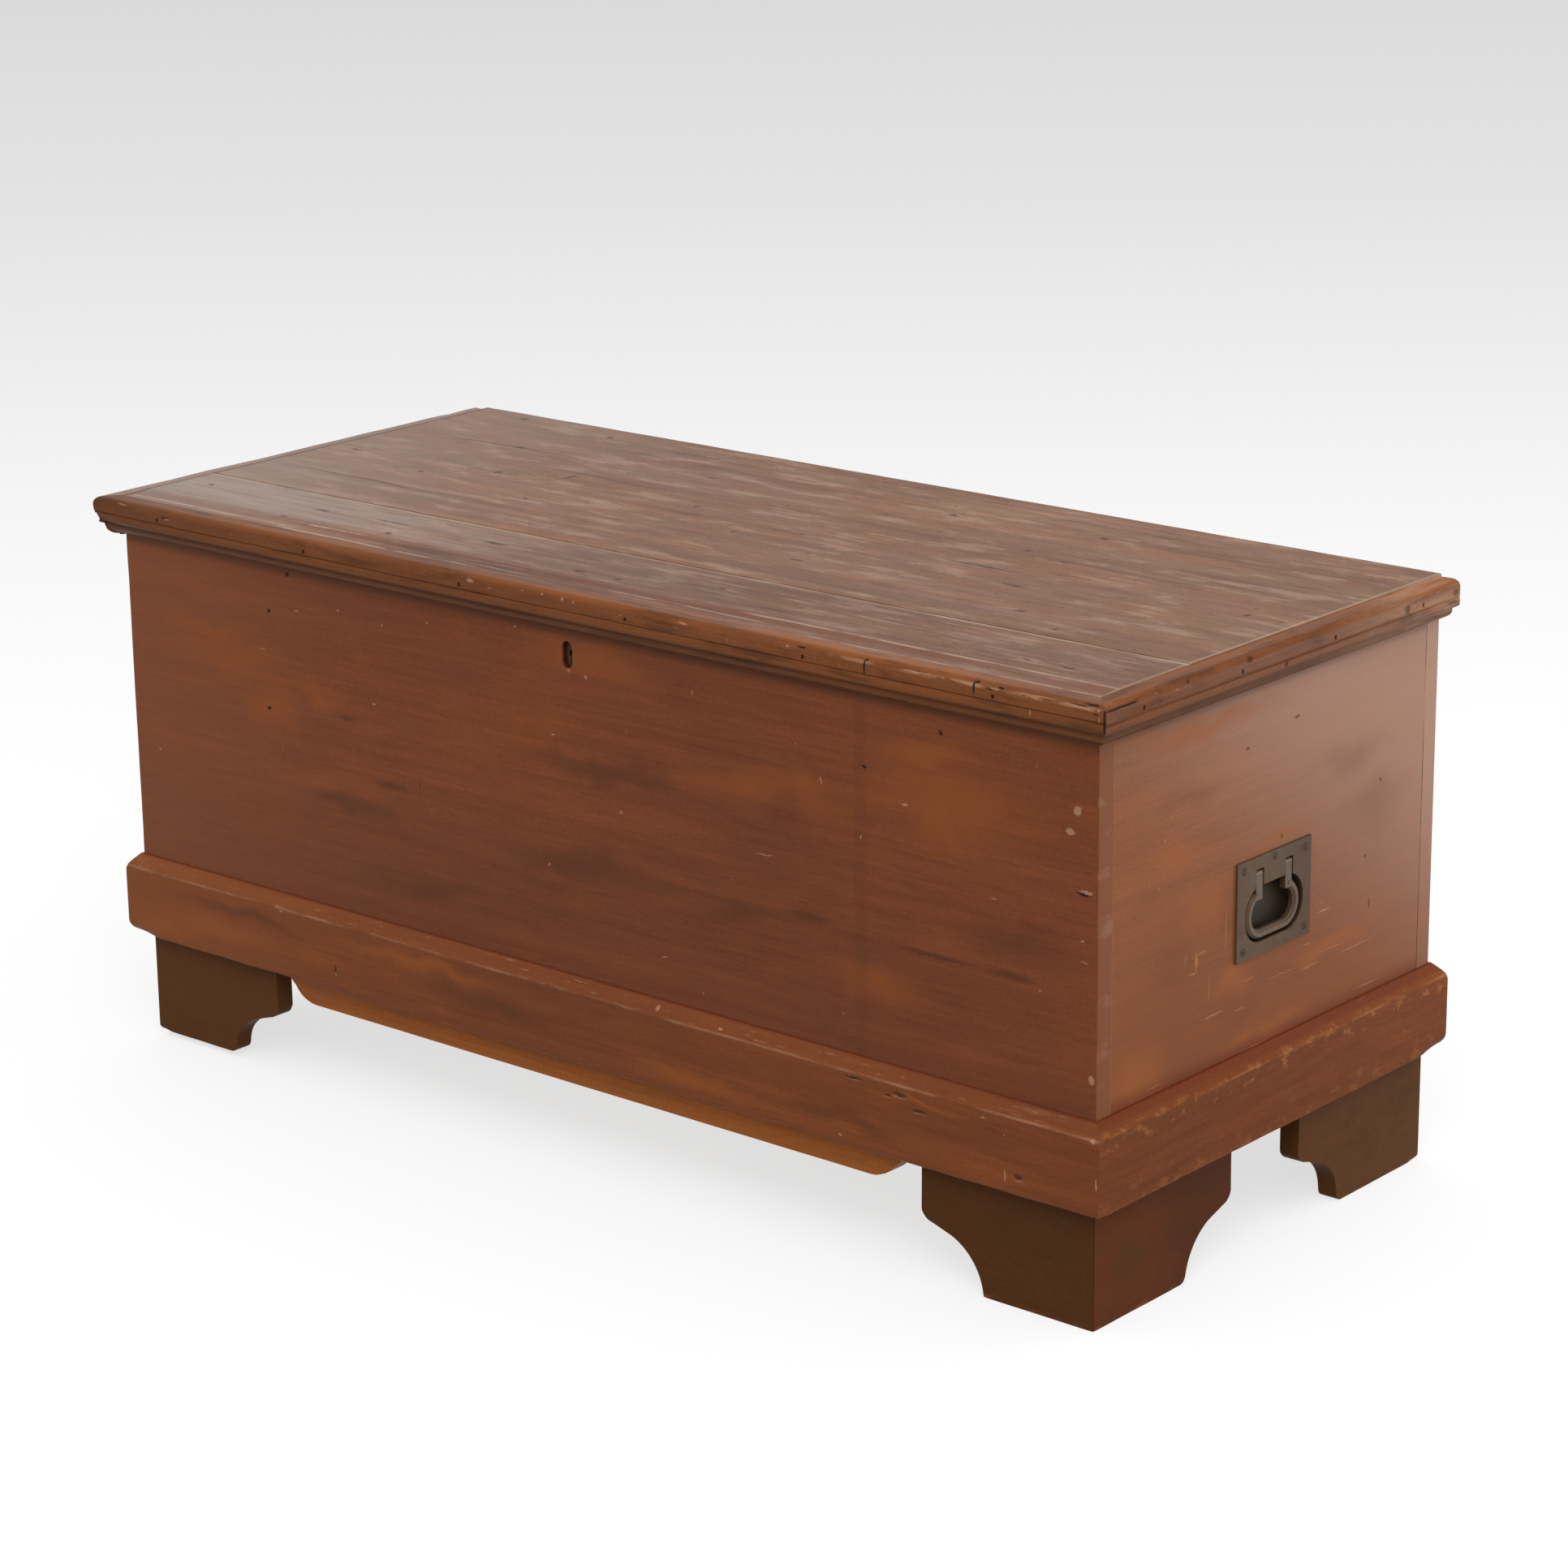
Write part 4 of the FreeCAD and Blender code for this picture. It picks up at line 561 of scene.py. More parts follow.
def stained_pine(name, axis, stain, seed, roughness=0.48, mottle=1.0, streaks=1.0, glow=None,
                 deep=None):
    """Old stained pine: soft clouds, long streaks, fine pores and a little relief."""
    glow, deep = glow or f"{stain}_glow", deep or f"{stain}_deep"
    wood = Finish(name, stain, roughness, axis)
    cloud = wood.grain(2.4, 5.0, 4.0, 0.55, seed)
    wood.patch(cloud, 0.5, 0.72, glow, 0.45 * mottle)
    wood.patch(cloud, 0.48, 0.28, deep, 0.4 * mottle)
    patch = wood.grain(8.0, 22.0, 4.0, 0.6, seed + 3.1)
    wood.patch(patch, 0.54, 0.74, glow, 0.35 * mottle)
    wood.patch(patch, 0.44, 0.26, deep, 0.3 * mottle)
    streak = wood.grain(1.5, 70.0, 5.0, 0.62, seed + 5.7)
    wood.tone(streak, 0.7 * streaks)
    fine = wood.grain(14.0, 330.0, 4.0, 0.65, seed + 9.2)
    wood.tone(fine, 0.75 * streaks)
    speckle = wood.grain(260.0, 420.0, 2.0, 0.6, seed + 14.0)
    wood.tone(speckle, 0.5)
    wood.raise_by(streak, 0.00022)
    wood.raise_by(fine, 0.00004)
    wood.raise_by(wood.grain(3.0, 6.0, 2.0, 0.5, seed + 12.0), 0.001)
    wood.roughness = wood.math("MULTIPLY_ADD", patch, 0.24, roughness - 0.12)
    return wood


def front_finish():
    """Reddish stain on the front board, with painted shade deepening it towards the floor and
    painted sheen paling it towards the left.
    """
    wood = stained_pine("front_panel_wood", "X", "front", 1.0)
    # Painted shade: darker towards the floor. Painted sheen: paler towards the left
    wood.patch(wood.z, 0.4, 0.17, "front_deep", 0.3)
    wood.patch(wood.x, -0.2, -0.62, "end", 0.38)
    loose = wood.ragged(14.0, 0.06)
    face = ("Y", FRONT_LOW.y)
    wood.mark(face, FRONT_GLOW, loose, 0.0, "front_glow", 0.75)
    wood.mark(face, FRONT_STAINS, loose, 0.0, "front_deep", 0.7)
    wood.coat(wood.line("X", 0.344, 0.01), "front_deep", 0.22)
    tight = wood.ragged(260.0, 0.005)
    wood.mark(face, FRONT_SMUDGES, tight, 0.1, "dirt_and_shade", 0.42, -0.0005)
    wood.mark(face, FRONT_SCRATCHES, tight, 0.5, "wear_and_highlight", 0.55, -0.0004)
    flecks = wood.noise(FLECKS, 1.0, 0.5, 91.0)
    wood.patch(flecks, 0.785, 0.83, "wear_and_highlight", 0.4)
    wood.mark(face, FRONT_HOLES, tight, 0.5, "dirt_and_shade", 0.9, -0.001, 0.8)
    # Painted shadow on the board just under the lid moulding
    under = NOSE_LOW.z - 0.001
    wood.patch(wood.z, under - 0.011, under, "moulding_deep", 0.55)
    sawn = wood.beside(wood.x, FRONT_HIGH.x - 0.0007, FRONT_HIGH.x)
    wood.coat(sawn, "end_grain", 0.85, 0.55)
    worn = wood.beside(wood.x, FRONT_HIGH.x - 0.0024, FRONT_HIGH.x)
    patchy = wood.noise((20.0, 20.0, 45.0), 4.0, 0.6, 41.0)
    wood.patch(patchy, 0.52, 0.68, "wear_and_highlight", 0.22, within=worn)
    # Painted shade on the walls inside the keyhole
    hole = wood.both(wood.band("X", -KEYHOLE.x, KEYHOLE.x, 0.0005),
                     wood.window(wood.y, FRONT_LOW.y + 0.0008, FRONT_LOW.y + 0.0035))
    hole = wood.both(hole, wood.band("Z", KEYHOLE.y, KEYHOLE.z, 0.0005))
    wood.coat(hole, "dirt_and_shade", 0.8)
    wood.mark(face, KEYHOLE_CHIP, tight, 0.2, "wear_and_highlight", 0.4)
    wood.bare_past(wood.y, FRONT_HIGH.y - 0.0003, -1.0)
    return wood.done(specular=0.12)


def end_finish(name, axis, sheen_strength):
    """Paler, warmer stain on the end boards and the back, with painted shade low at the front and
    painted sheen high at the back.
    """
    wood = stained_pine(name, axis, "end", 4.0, 0.46, mottle=0.9, streaks=0.7)
    wood.patch(wood.z, 0.44, 0.16, "front_glow", 0.42)
    # Painted shade: darker low down and towards the front
    low_front = wood.math("SUBTRACT", wood.z, wood.math("MULTIPLY", wood.y, 0.5))
    wood.patch(low_front, 0.5, 0.28, "end_deep", 0.3)
    # Painted sheen: paler higher up and towards the back
    high_back = wood.math("MULTIPLY_ADD", wood.z, 1.5, wood.y)
    wood.dulled = wood.window(high_back, 0.42, 0.9)
    wood.coat(wood.dulled, "end_sheen", sheen_strength)
    loose = wood.ragged(16.0, 0.05)
    left, right = ("X", BACK_LOW.x), ("X", BACK_HIGH.x)
    for face in (left, right):
        wood.mark(face, END_GLOW, loose, 0.0, "end_glow", 0.7)
        wood.mark(face, END_STAINS, loose, 0.0, "end_deep", 0.35)
    tight = wood.ragged(170.0, 0.0034)
    wood.mark(right, END_SCRATCHES, tight, 0.2, "scratch", 0.62, -0.0003)
    wood.mark(right, END_HOLES, tight, 0.5, "dirt_and_shade", 0.6, -0.0006)
    # Painted shadow on the board just under the lid moulding
    under = NOSE_LOW.z - 0.001
    wood.patch(wood.z, under - 0.009, under, "moulding_deep", 0.45)
    wood.patch(wood.z, SKIRT_HIGH.z + 0.016, SKIRT_HIGH.z, "end_red", 0.55)
    joint = wood.line("Y", BACK_LOW.y, 0.0016, 0.0012, (1.0, 1.0, 30.0), 6.0)
    gappy = wood.noise((2.0, 2.0, 14.0), 3.0, 0.6, 8.0)
    wood.patch(gappy, 0.36, 0.5, "dirt_and_shade", 0.85, within=joint)
    ends = wood.beside(wood.x, BACK_HIGH.x - 0.0007, BACK_HIGH.x)
    wood.patch(wood.y, BACK_LOW.y, BACK_LOW.y + 0.0006, "end_grain", 0.8, within=ends)
    return wood


def end_board_finish():
    """End boards: stained outside, bare inside."""
    wood = end_finish("case_wood", "Y", 0.5)
    inner = BACK_HIGH.x - BOARD
    wood.bare(wood.beside(wood.x, inner + 0.0004, inner + 0.0002))
    return wood.done(specular=0.08)


def back_board_finish():
    """Back board: the ends' stain outside, bare inside."""
    wood = end_finish("case_wood_back", "X", 0.1)
    # Painted sheen carried onto the back board's ends where they show at the corners
    ends = wood.beside(wood.x, BACK_HIGH.x - 0.003, BACK_HIGH.x)
    wood.coat(wood.both(ends, wood.dulled), "end_sheen", 0.6)
    wood.bare_past(wood.y, BACK_LOW.y + 0.0003, 1.0)
    return wood.done(specular=0.08)


def lid_finish():
    """Brown, streaky lid with a painted sheen over its left end and along its front board."""
    wood = stained_pine("lid_wood", "X", "lid", 7.0, 0.42, mottle=0.8, streaks=1.5)
    broad = wood.grain(0.9, 24.0, 4.0, 0.55, 44.0)
    wood.tone(broad, 0.45)
    tint = wood.grain(1.3, 34.0, 4.0, 0.6, 45.0)
    wood.patch(tint, 0.5, 0.66, "lid_olive", 0.55)
    wood.patch(tint, 0.46, 0.3, "lid_lilac", 0.55)
    blotch = wood.grain(14.0, 62.0, 4.0, 0.62, 46.0)
    wood.patch(blotch, 0.52, 0.64, "lid_pale", 0.26)
    wood.patch(blotch, 0.47, 0.34, "lid_dirt", 0.32)
    pepper = wood.grain(150.0, 240.0, 2.0, 0.6, 50.0)
    wood.patch(pepper, 0.62, 0.7, "lid_dirt", 0.6)
    hairs = wood.grain(12.0, 170.0, 4.0, 0.66, 51.0)
    front = wood.window(wood.y, LID_FRONT_HIGH.y + 0.004, LID_FRONT_HIGH.y - 0.002)
    wood.patch(hairs, 0.55, 0.66, "lid_dirt", 0.5, within=front)
    wood.patch(hairs, 0.45, 0.34, "lid_pale", 0.42, within=front)
    # Painted sheen: greyer and paler over the lid's left end, more so towards its front
    cloud = wood.noise((1.5, 4.0, 1.0), 3.0, 0.6, 47.0)
    left_sheen = wood.window(wood.math("MULTIPLY_ADD", cloud, 0.3, wood.x), -0.02, -0.55)
    wood.coat(left_sheen, "lid_sheen", 0.34)
    wood.patch(wood.y, 0.16, -0.26, "lid_sheen", 0.42, within=left_sheen)
    top, joint = ("Z", LID_HIGH.z), LID_FRONT_HIGH.y
    # Painted sheen: a streaky grey band along the front board, fading out to the right
    sheen = wood.both(wood.window(wood.x, 0.16, -0.36),
                      wood.band("Y", joint - 0.09, joint - 0.012, 0.01))
    wood.patch(wood.grain(5.0, 110.0, 4.0, 0.6, 48.0), 0.3, 0.64, "lid_sheen", 0.62,
               within=sheen)
    wood.mark(top, LID_STREAKS, wood.ragged(12.0, 0.02), 0.0, "lid_deep", 0.85)
    wood.mark(top, LID_DENTS, wood.ragged(150.0, 0.007), 0.2, "lid_dirt", 0.95, -0.0005)
    dashes = wood.grain(22.0, 300.0, 3.0, 0.6, 49.0)
    wood.patch(dashes, 0.68, 0.76, "lid_dirt", 0.6)
    wood.patch(dashes, 0.33, 0.26, "lid_pale", 0.3)
    edge = LID_FRONT_LOW.y
    bay = wood.noise((7.0, 1.0, 1.0), 3.0, 0.6, 52.0)
    reach = wood.math("MULTIPLY_ADD", bay, 0.014, wood.y)
    fading = wood.math("MULTIPLY_ADD", wood.window(wood.x, -0.55, -0.15), 0.6, 0.4)
    worn = wood.both(wood.window(reach, edge + 0.042, edge + 0.034), fading)
    thin = wood.grain(5.0, 46.0, 4.0, 0.6, 53.0)
    wood.patch(thin, 0.34, 0.56, "lid_edge", 0.8, 0.36, within=worn)
    grain = wood.grain(3.0, 130.0, 4.0, 0.6, 54.0)
    wood.patch(grain, 0.5, 0.34, "lid_dirt", 0.7, within=worn)
    broken = wood.window(wood.noise((26.0, 60.0, 1.0), 4.0, 0.65, 58.0), 0.34, 0.58)
    for place, width, wander, seed, start, end in LID_RIDGES:
        ridge = wood.line("Y", edge + place, width, wander, (9.0, 0.2, 0.2), seed)
        ridge = wood.both(ridge, wood.band("X", start, end, 0.02))
        wood.coat(wood.both(ridge, broken), "lid_pale", 0.75)
        wood.raise_by(ridge, 0.0004)
    level = wood.math("MULTIPLY_ADD", wood.x, -LID_TAPER, wood.y)
    level = wood.math("SUBTRACT", level, joint - LID_TAPER * LID_HIGH.x)
    wood.coat(wood.beside(level, 0.0016, 0.0004), "dirt_and_shade", 0.8)
    arris = wood.beside(wood.math("ADD", level, 0.003), 0.003, 0.0008)
    patchy = wood.noise((9.0, 30.0, 1.0), 4.0, 0.6, 57.0)
    wood.patch(patchy, 0.3, 0.6, "lid_pale", 0.55, within=arris)
    ends = wood.beside(wood.x, LID_HIGH.x - 0.0042, LID_HIGH.x - 0.001)
    wood.patch(wood.x, 0.0, 0.1, "lid_pale", 0.42, within=ends)
    wood.patch(wood.x, LID_LOW.x + 0.0068, LID_LOW.x + 0.005, "lid_dirt", 0.6)
    right = wood.both(wood.window(wood.x, -0.34, -0.02), wood.window(wood.y, joint, joint - 0.01))
    wood.coat(right, "lid_dirt", 0.2)
    wood.patch(wood.x, 0.34, 0.1, "lid_dirt", 0.14, within=right)
    wood.bare_past(wood.z, LID_LOW.z + 0.0004, 1.0)
    return wood.done(specular=0.08)


def moulding_finish(name, axis):
    """Lid moulding: honey nose, worn line under it, brown face and painted shadow lines in its
    quirks.
    """
    wood = stained_pine(name, axis, "moulding", 11.0, 0.4, mottle=0.6)
    crown = NOSE_HIGH.z
    rough = wood.grain(30.0, 160.0, 4.0, 0.65, 61.0)
    long_waves = wood.grain(4.0, 30.0, 3.0, 0.5, 62.0)
    nose = wood.window(wood.z, crown - 0.0052, crown - 0.002)
    wood.patch(long_waves, 0.36, 0.6, "moulding_glow", 0.75, within=nose)
    wood.patch(wood.z, crown - 0.015, crown - 0.03, "foot", 0.3)
    mottle = wood.grain(11.0, 70.0, 4.0, 0.6, 64.0)
    wood.patch(mottle, 0.5, 0.66, "moulding_deep", 0.7)
    for place, width, strength in MOULDING_SHADOWS:
        shadow = wood.line("Z", crown - place, width, 0.0016, along(axis, 8.0, 1.0), place * 900.0)
        wood.coat(shadow, "dirt_and_shade", strength)
    flecks = wood.grain(110.0, 260.0, 2.0, 0.5, 66.0)
    face = wood.band("Z", crown - 0.013, crown - 0.004, 0.001)
    wood.patch(flecks, 0.66, 0.73, "wear_and_highlight", 0.5, within=face)
    worn = wood.line("Z", crown - 0.0052, 0.0024, 0.0016, along(axis, 14.0, 1.0), 63.0)
    wood.worn_line = wood.both(worn, wood.window(rough, 0.42, 0.6))
    return wood


def mitre_gap(wood, start, end):
    """1 beside the open mitre at the near corner, below the nose's top."""
    across = wood.math("ADD", wood.x, wood.y)
    away = wood.math("SUBTRACT", across, LID_HIGH.x + LID_FRONT_LOW.y)
    deep = wood.band("Z", NOSE_HIGH.z - 0.024, NOSE_HIGH.z - 0.0042, 0.001)
    return wood.both(wood.beside(away, start, end), deep)


def front_moulding_finish():
    """Front lid moulding with its splits, its worn line paled towards the right by wear and a
    painted sheen.
    """
    wood = moulding_finish("moulding_wood", "X")
    # Painted sheen, with wear, on the worn line towards the right
    wood.patch(wood.x, 0.26, 0.42, "wear_and_highlight", 0.58, within=wood.worn_line)
    wood.patch(wood.x, 0.2, -0.1, "moulding_deep", 0.24)
    wood.patch(wood.x, -0.35, -0.6, "foot", 0.3)
    tight = wood.ragged(160.0, 0.0018)
    wood.mark(("Y", NOSE_LOW.y), MOULDING_SPLITS, tight, 0.45, "dirt_and_shade", 1.0, -0.0009)
    wood.mark(("Y", NOSE_LOW.y), MOULDING_CHIPS, tight, 0.3, "wear_and_highlight", 0.5, -0.0006)
    wood.coat(mitre_gap(wood, 0.003, 0.0012), "dirt_and_shade", 0.95)
    return wood.done(specular=0.09)


def end_moulding_finish():
    """End lid mouldings: a painted sheen on the left one's nose, with bare and cracked rear ends.
    """
    wood = moulding_finish("moulding_wood_ends", "Y")
    worn_end = wood.window(wood.y, 0.02, 0.24)
    ragged = wood.grain(10.0, 120.0, 4.0, 0.65, 71.0)
    wood.patch(ragged, 0.38, 0.62, "wear_and_highlight", 0.55, 0.6, within=worn_end)
    crack = wood.both(worn_end, wood.window(wood.grain(5.0, 240.0, 3.0, 0.6, 73.0), 0.62, 0.7))
    wood.press(crack, "dirt_and_shade", 0.75, -0.0006)
    split = wood.line("Z", 0.5626, 0.0015, 0.004, (1.0, 20.0, 1.0), 75.0)
    split = wood.both(split, wood.band("Y", -0.274, -0.232, 0.004))
    wood.coat(split, "dirt_and_shade", 1.0)
    wood.coat(mitre_gap(wood, 0.0016, 0.0006), "dirt_and_shade", 0.8)
    # Painted sheen on the nose top of the left end moulding
    left = wood.window(wood.x, -0.58, -0.6)
    wood.patch(wood.z, NOSE_HIGH.z - 0.01, NOSE_HIGH.z - 0.004, "lid_sheen", 0.55, within=left)
    tight = wood.ragged(200.0, 0.0026)
    wood.mark(("X", END_NOSE_HIGH.x), END_MOULDING_KNOTS, tight, 0.3, "dirt_and_shade", 0.65, -0.0006)
    return wood.done(specular=0.06)


def skirt_finish(name, axis, rubbed):
    """Base moulding: reddish face, bevel with a rubbed edge, dents on the front with painted
    shadows and painted highlights on their lips.
    """
    wood = stained_pine(name, axis, "skirt", 15.0, 0.46, mottle=0.9)
    wood.patch(wood.x, -0.2, -0.62, "skirt_glow", 0.5)
    flecks = wood.noise(FLECKS, 1.0, 0.5, 92.0)
    wood.patch(flecks, 0.765, 0.81, "wear_and_highlight", 0.4)
    bevel = SKIRT_HIGH.z - SKIRT_BEVEL
    ragged = wood.grain(16.0, 60.0, 4.0, 0.65, 81.0)
    slope = wood.window(wood.z, bevel - 0.001, bevel + 0.0015)
    wood.coat(slope, "skirt_glow", 0.16)
    wood.patch(ragged, 0.58, 0.76, "wear_and_highlight", 0.16, within=slope)
    hair = wood.grain(40.0, 420.0, 3.0, 0.6, 82.0)
    wood.patch(hair, 0.62, 0.7, rubbed, 0.34, within=slope)
    worn = wood.line("Z", bevel - 0.0004, 0.0018, 0.0024, along(axis, 12.0, 1.0), 83.0)
    wood.patch(ragged, 0.4, 0.62, rubbed, 0.36, within=worn)
    foot = wood.line("Z", SKIRT_LOW.z, 0.003, 0.002, along(axis, 14.0, 1.0), 85.0)
    wood.patch(ragged, 0.46, 0.62, "skirt_glow", 0.7, within=foot)
    wood.patch(wood.z, SKIRT_HIGH.z - 0.0016, SKIRT_HIGH.z, "end_red", 0.6)
    tight = wood.ragged(170.0, 0.0035)
    loose = wood.ragged(14.0, 0.04)
    face = ("Y", SKIRT_LOW.y)
    wood.mark(face, SKIRT_GLOW, loose, 0.0, "skirt_glow", 0.7)
    wood.mark(face, SKIRT_STAINS, loose, 0.0, "skirt_deep", 0.6)
    # Painted highlights on the lower lips of the dents, then painted shadow in the dents themselves
    dent_highlights = [(x, z - 0.8 * tall, wide, 0.6 * tall) for x, z, wide, tall in SKIRT_DENTS]
    wood.mark(face, dent_highlights, tight, 0.2, "wear_and_highlight", 0.3)
    wood.mark(face, SKIRT_DENTS, tight, 0.1, "dirt_and_shade", 0.75, -0.002)
    wood.mark(face, SKIRT_CHIPS, tight, 0.4, "wear_and_highlight", 0.6, -0.0005)
    return wood


def end_skirt_finish():
    """Base moulding's ends: redder beside the case, with scuffs through to orange."""
    wood = skirt_finish("skirt_wood_ends", "Y", "scratch")
    top = SKIRT_HIGH.z
    wood.patch(wood.z, top - 0.0095, top - 0.0045, "end_red", 0.5)
    scuffs = wood.window(wood.noise((60.0, 60.0, 90.0), 4.0, 0.7, 87.0), 0.53, 0.62)
    low = SKIRT_LOW.z + 0.004
    wood.patch(wood.z, low + 0.03, low, "foot_glow", 0.5, within=scuffs)
    high = wood.band("Z", top - 0.026, top - 0.009, 0.004)
    wood.coat(wood.both(scuffs, high), "scratch", 0.34)
    return wood.done(specular=0.05)


def foot_finish(name, axis, stain):
    """Paint on the bracket feet, rubbed through along their low edges, with painted shadow under
    the base moulding.
    """
    wood = stained_pine(
        name, axis, stain, 19.0, 0.5, mottle=0.6, streaks=0.4, glow="skirt", deep="foot_deep"
    )
    wood.patch(wood.x, -0.2, -0.45, "foot_rear", 0.9)
    olive = wood.noise((16.0, 16.0, 22.0), 4.0, 0.6, 96.0)
    wood.patch(olive, 0.48, 0.66, "foot", 0.7)
    ragged = wood.noise((30.0, 30.0, 50.0), 4.0, 0.65, 91.0)
    toe = wood.window(wood.z, 0.006, 0.001)
    wood.patch(ragged, 0.5, 0.64, "foot_glow", 0.6, within=toe)
    # Painted shadow at the top of the feet, under the base moulding
    wood.patch(wood.z, FOOT_HIGH.z - 0.01, FOOT_HIGH.z, "dirt_and_shade", 0.55)
    inner = wood.both(wood.window(wood.y, -0.19, -0.09), wood.window(wood.y, 0.0, -0.02))
    wood.coat(inner, "foot_deep", 0.45)
    scuffs = wood.noise((120.0, 120.0, 90.0), 2.0, 0.6, 95.0)
    wood.patch(scuffs, 0.74, 0.8, "foot_glow", 0.35)
    return wood.done(specular=0.05)


def apron_finish():
    """Apron under the front, with painted shadow under the base moulding."""
    wood = stained_pine("apron_wood", "X", "apron", 23.0, glow="skirt_glow", deep="skirt_deep")
    # Painted shadow along the apron's top, under the base moulding
    wood.patch(wood.z, APRON_HIGH.z - 0.009, APRON_HIGH.z, "dirt_and_shade", 0.6)
    return wood.done(specular=0.12)


def bare_finish():
    """Unfinished pine inside the chest."""
    wood = stained_pine("inner_wood", "X", "bare", 27.0, 0.65, mottle=0.6, glow="wear_and_highlight")
    return wood.done(specular=0.2)


def iron_finish(name, base, rough=0.5, metallic=0.1, rubbed=0.12, specular=0.14):
    """Dark iron: brown patina, rust in the hollows, a rubbed sheen and painted shade towards the
    back.
    """
    iron = Finish(name, base, rough)
    cloud = iron.noise((90.0, 90.0, 90.0), 4.0, 0.6, 2.0)
    iron.patch(cloud, 0.5, 0.7, "rust", 0.5, rough + 0.15)
    bright = iron.noise((45.0, 45.0, 45.0), 3.0, 0.5, 5.0)
    iron.patch(bright, 0.5, 0.72, "iron_bright", rubbed, rough - 0.1)
    pits = iron.noise((700.0, 700.0, 700.0), 3.0, 0.6, 8.0)
    iron.raise_by(pits, 0.00016)
    iron.tone(pits, 0.6)
    # Painted shade: browner and darker towards the back
    aft = iron.window(iron.y, -0.01, PLATE_HIGH.y)
    iron.coat(aft, "rust", 0.3)
    iron.coat(aft, "dirt_and_shade", 0.22)
    for side in (-1.0, 1.0):
        heads, rims, slots = screw_marks(iron, side)
        for mask, colour, strength, height in (
            (heads, "rust", 0.75, 0.0), (heads, "dirt_and_shade", 0.22, 0.0),
            (rims, "dirt_and_shade", 0.75, -0.0004), (slots, "dirt_and_shade", 0.9, -0.0008),
        ):
            iron.press(mask, colour, strength, height)
    return iron.done(metallic=metallic, specular=specular)


def screw_marks(iron, side):
    """Heads, rims and slots of the screws on one handle's plate."""
    heads, rims, slots = 0.0, 0.0, 0.0
    level = side * PLATE_HIGH.x
    for across, up, turned in SCREWS:
        along_y = 0.5 * (PLATE_LOW.y + PLATE_HIGH.y) + side * across
        centre = (level, along_y, 0.5 * (PLATE_LOW.z + PLATE_HIGH.z) + up)
        away = iron.vector("SUBTRACT", iron.place, centre)
        out = iron.vector("LENGTH", iron.vector("MULTIPLY", away, (0.4, 1.0, 1.0)))
        heads = iron.math("MAXIMUM", heads, iron.window(out, 0.0032, 0.0027))
        rim = iron.both(iron.window(out, 0.0026, 0.0032), iron.window(out, 0.004, 0.0034))
        rims = iron.math("MAXIMUM", rims, rim)
        tilt = iron.vector("DOT_PRODUCT", away, (0.0, math.cos(turned), math.sin(turned)))
        thin = iron.beside(tilt, 0.0006, 0.0003)
        slots = iron.math("MAXIMUM", slots, iron.both(thin, iron.window(out, 0.0031, 0.0028)))
    return heads, rims, slots


def make_finishes():
    """Every finish by name; those of the slots have the slots' names."""
    return {
        "front_panel_wood": front_finish(),
        "case_wood": end_board_finish(),
        "back_wood": back_board_finish(),
        "lid_wood": lid_finish(),
        "moulding_wood": front_moulding_finish(),
        "end_moulding_wood": end_moulding_finish(),
        "skirt_wood": skirt_finish("skirt_wood", "X", "wear_and_highlight").done(specular=0.11),
        "end_skirt_wood": end_skirt_finish(),
        "foot_wood": foot_finish("foot_wood", "X", "foot"),
        "side_foot_wood": foot_finish("foot_wood_sides", "Y", "foot_side"),
        "rear_foot_wood": foot_finish("foot_wood_rear", "Y", "foot_rear"),
        "apron_wood": apron_finish(),
        "inner_wood": bare_finish(),
        "handle_iron": iron_finish("handle_iron", "iron"),
        "bail_iron": iron_finish("handle_iron_bail", "iron", 0.4, 0.22, 0.2, 0.3),
        "pan_iron": iron_finish("handle_iron_pan", "pan", 0.55, 0.0, 0.05, 0.12),
        "nail_iron": iron_finish("nail_iron", "dirt_and_shade", 0.6),
        "lock_iron": iron_finish("lock_iron", "iron", 0.4),
        "hinge_iron": iron_finish("hinge_iron", "iron", 0.5),
    }


# ---------------------------------------------------------------- modelling helpers


def select_none():
    """Nothing selected and nothing in edit mode."""
    if bpy.context.mode != "OBJECT":
        bpy.ops.object.mode_set(mode="OBJECT")
    bpy.ops.object.select_all(action="DESELECT")


def take(piece):
    """Makes one object the only one selected and the active one."""
    select_none()
    piece.select_set(True)
    bpy.context.view_layer.objects.active = piece


def paint(piece, material):
    """Gives an object one material."""
    piece.data.materials.clear()
    piece.data.materials.append(material)


def copy_of(node):
    """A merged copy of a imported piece, its flat regions single faces."""
    piece = bpy.data.objects.new(f"{node}_worn", frame["nodes"][node].data.copy())
    bpy.context.scene.collection.objects.link(piece)
    take(piece)
    bpy.ops.mesh.customdata_custom_splitnormals_clear()
    bpy.ops.object.mode_set(mode="EDIT")
    bpy.ops.mesh.select_all(action="SELECT")
    bpy.ops.mesh.remove_doubles(threshold=MERGE_DISTANCE)
    bpy.ops.mesh.dissolve_limited(angle_limit=FLAT_ANGLE)
    bpy.ops.mesh.select_all(action="DESELECT")
    bpy.ops.object.mode_set(mode="OBJECT")
    return piece


def piece_box(piece):
    """Lowest and highest corner of an object's own mesh."""
    places = [vertex.co for vertex in piece.data.vertices]
    low = Vector(min(p[a] for p in places) for a in range(3))
    high = Vector(max(p[a] for p in places) for a in range(3))
    return low, high


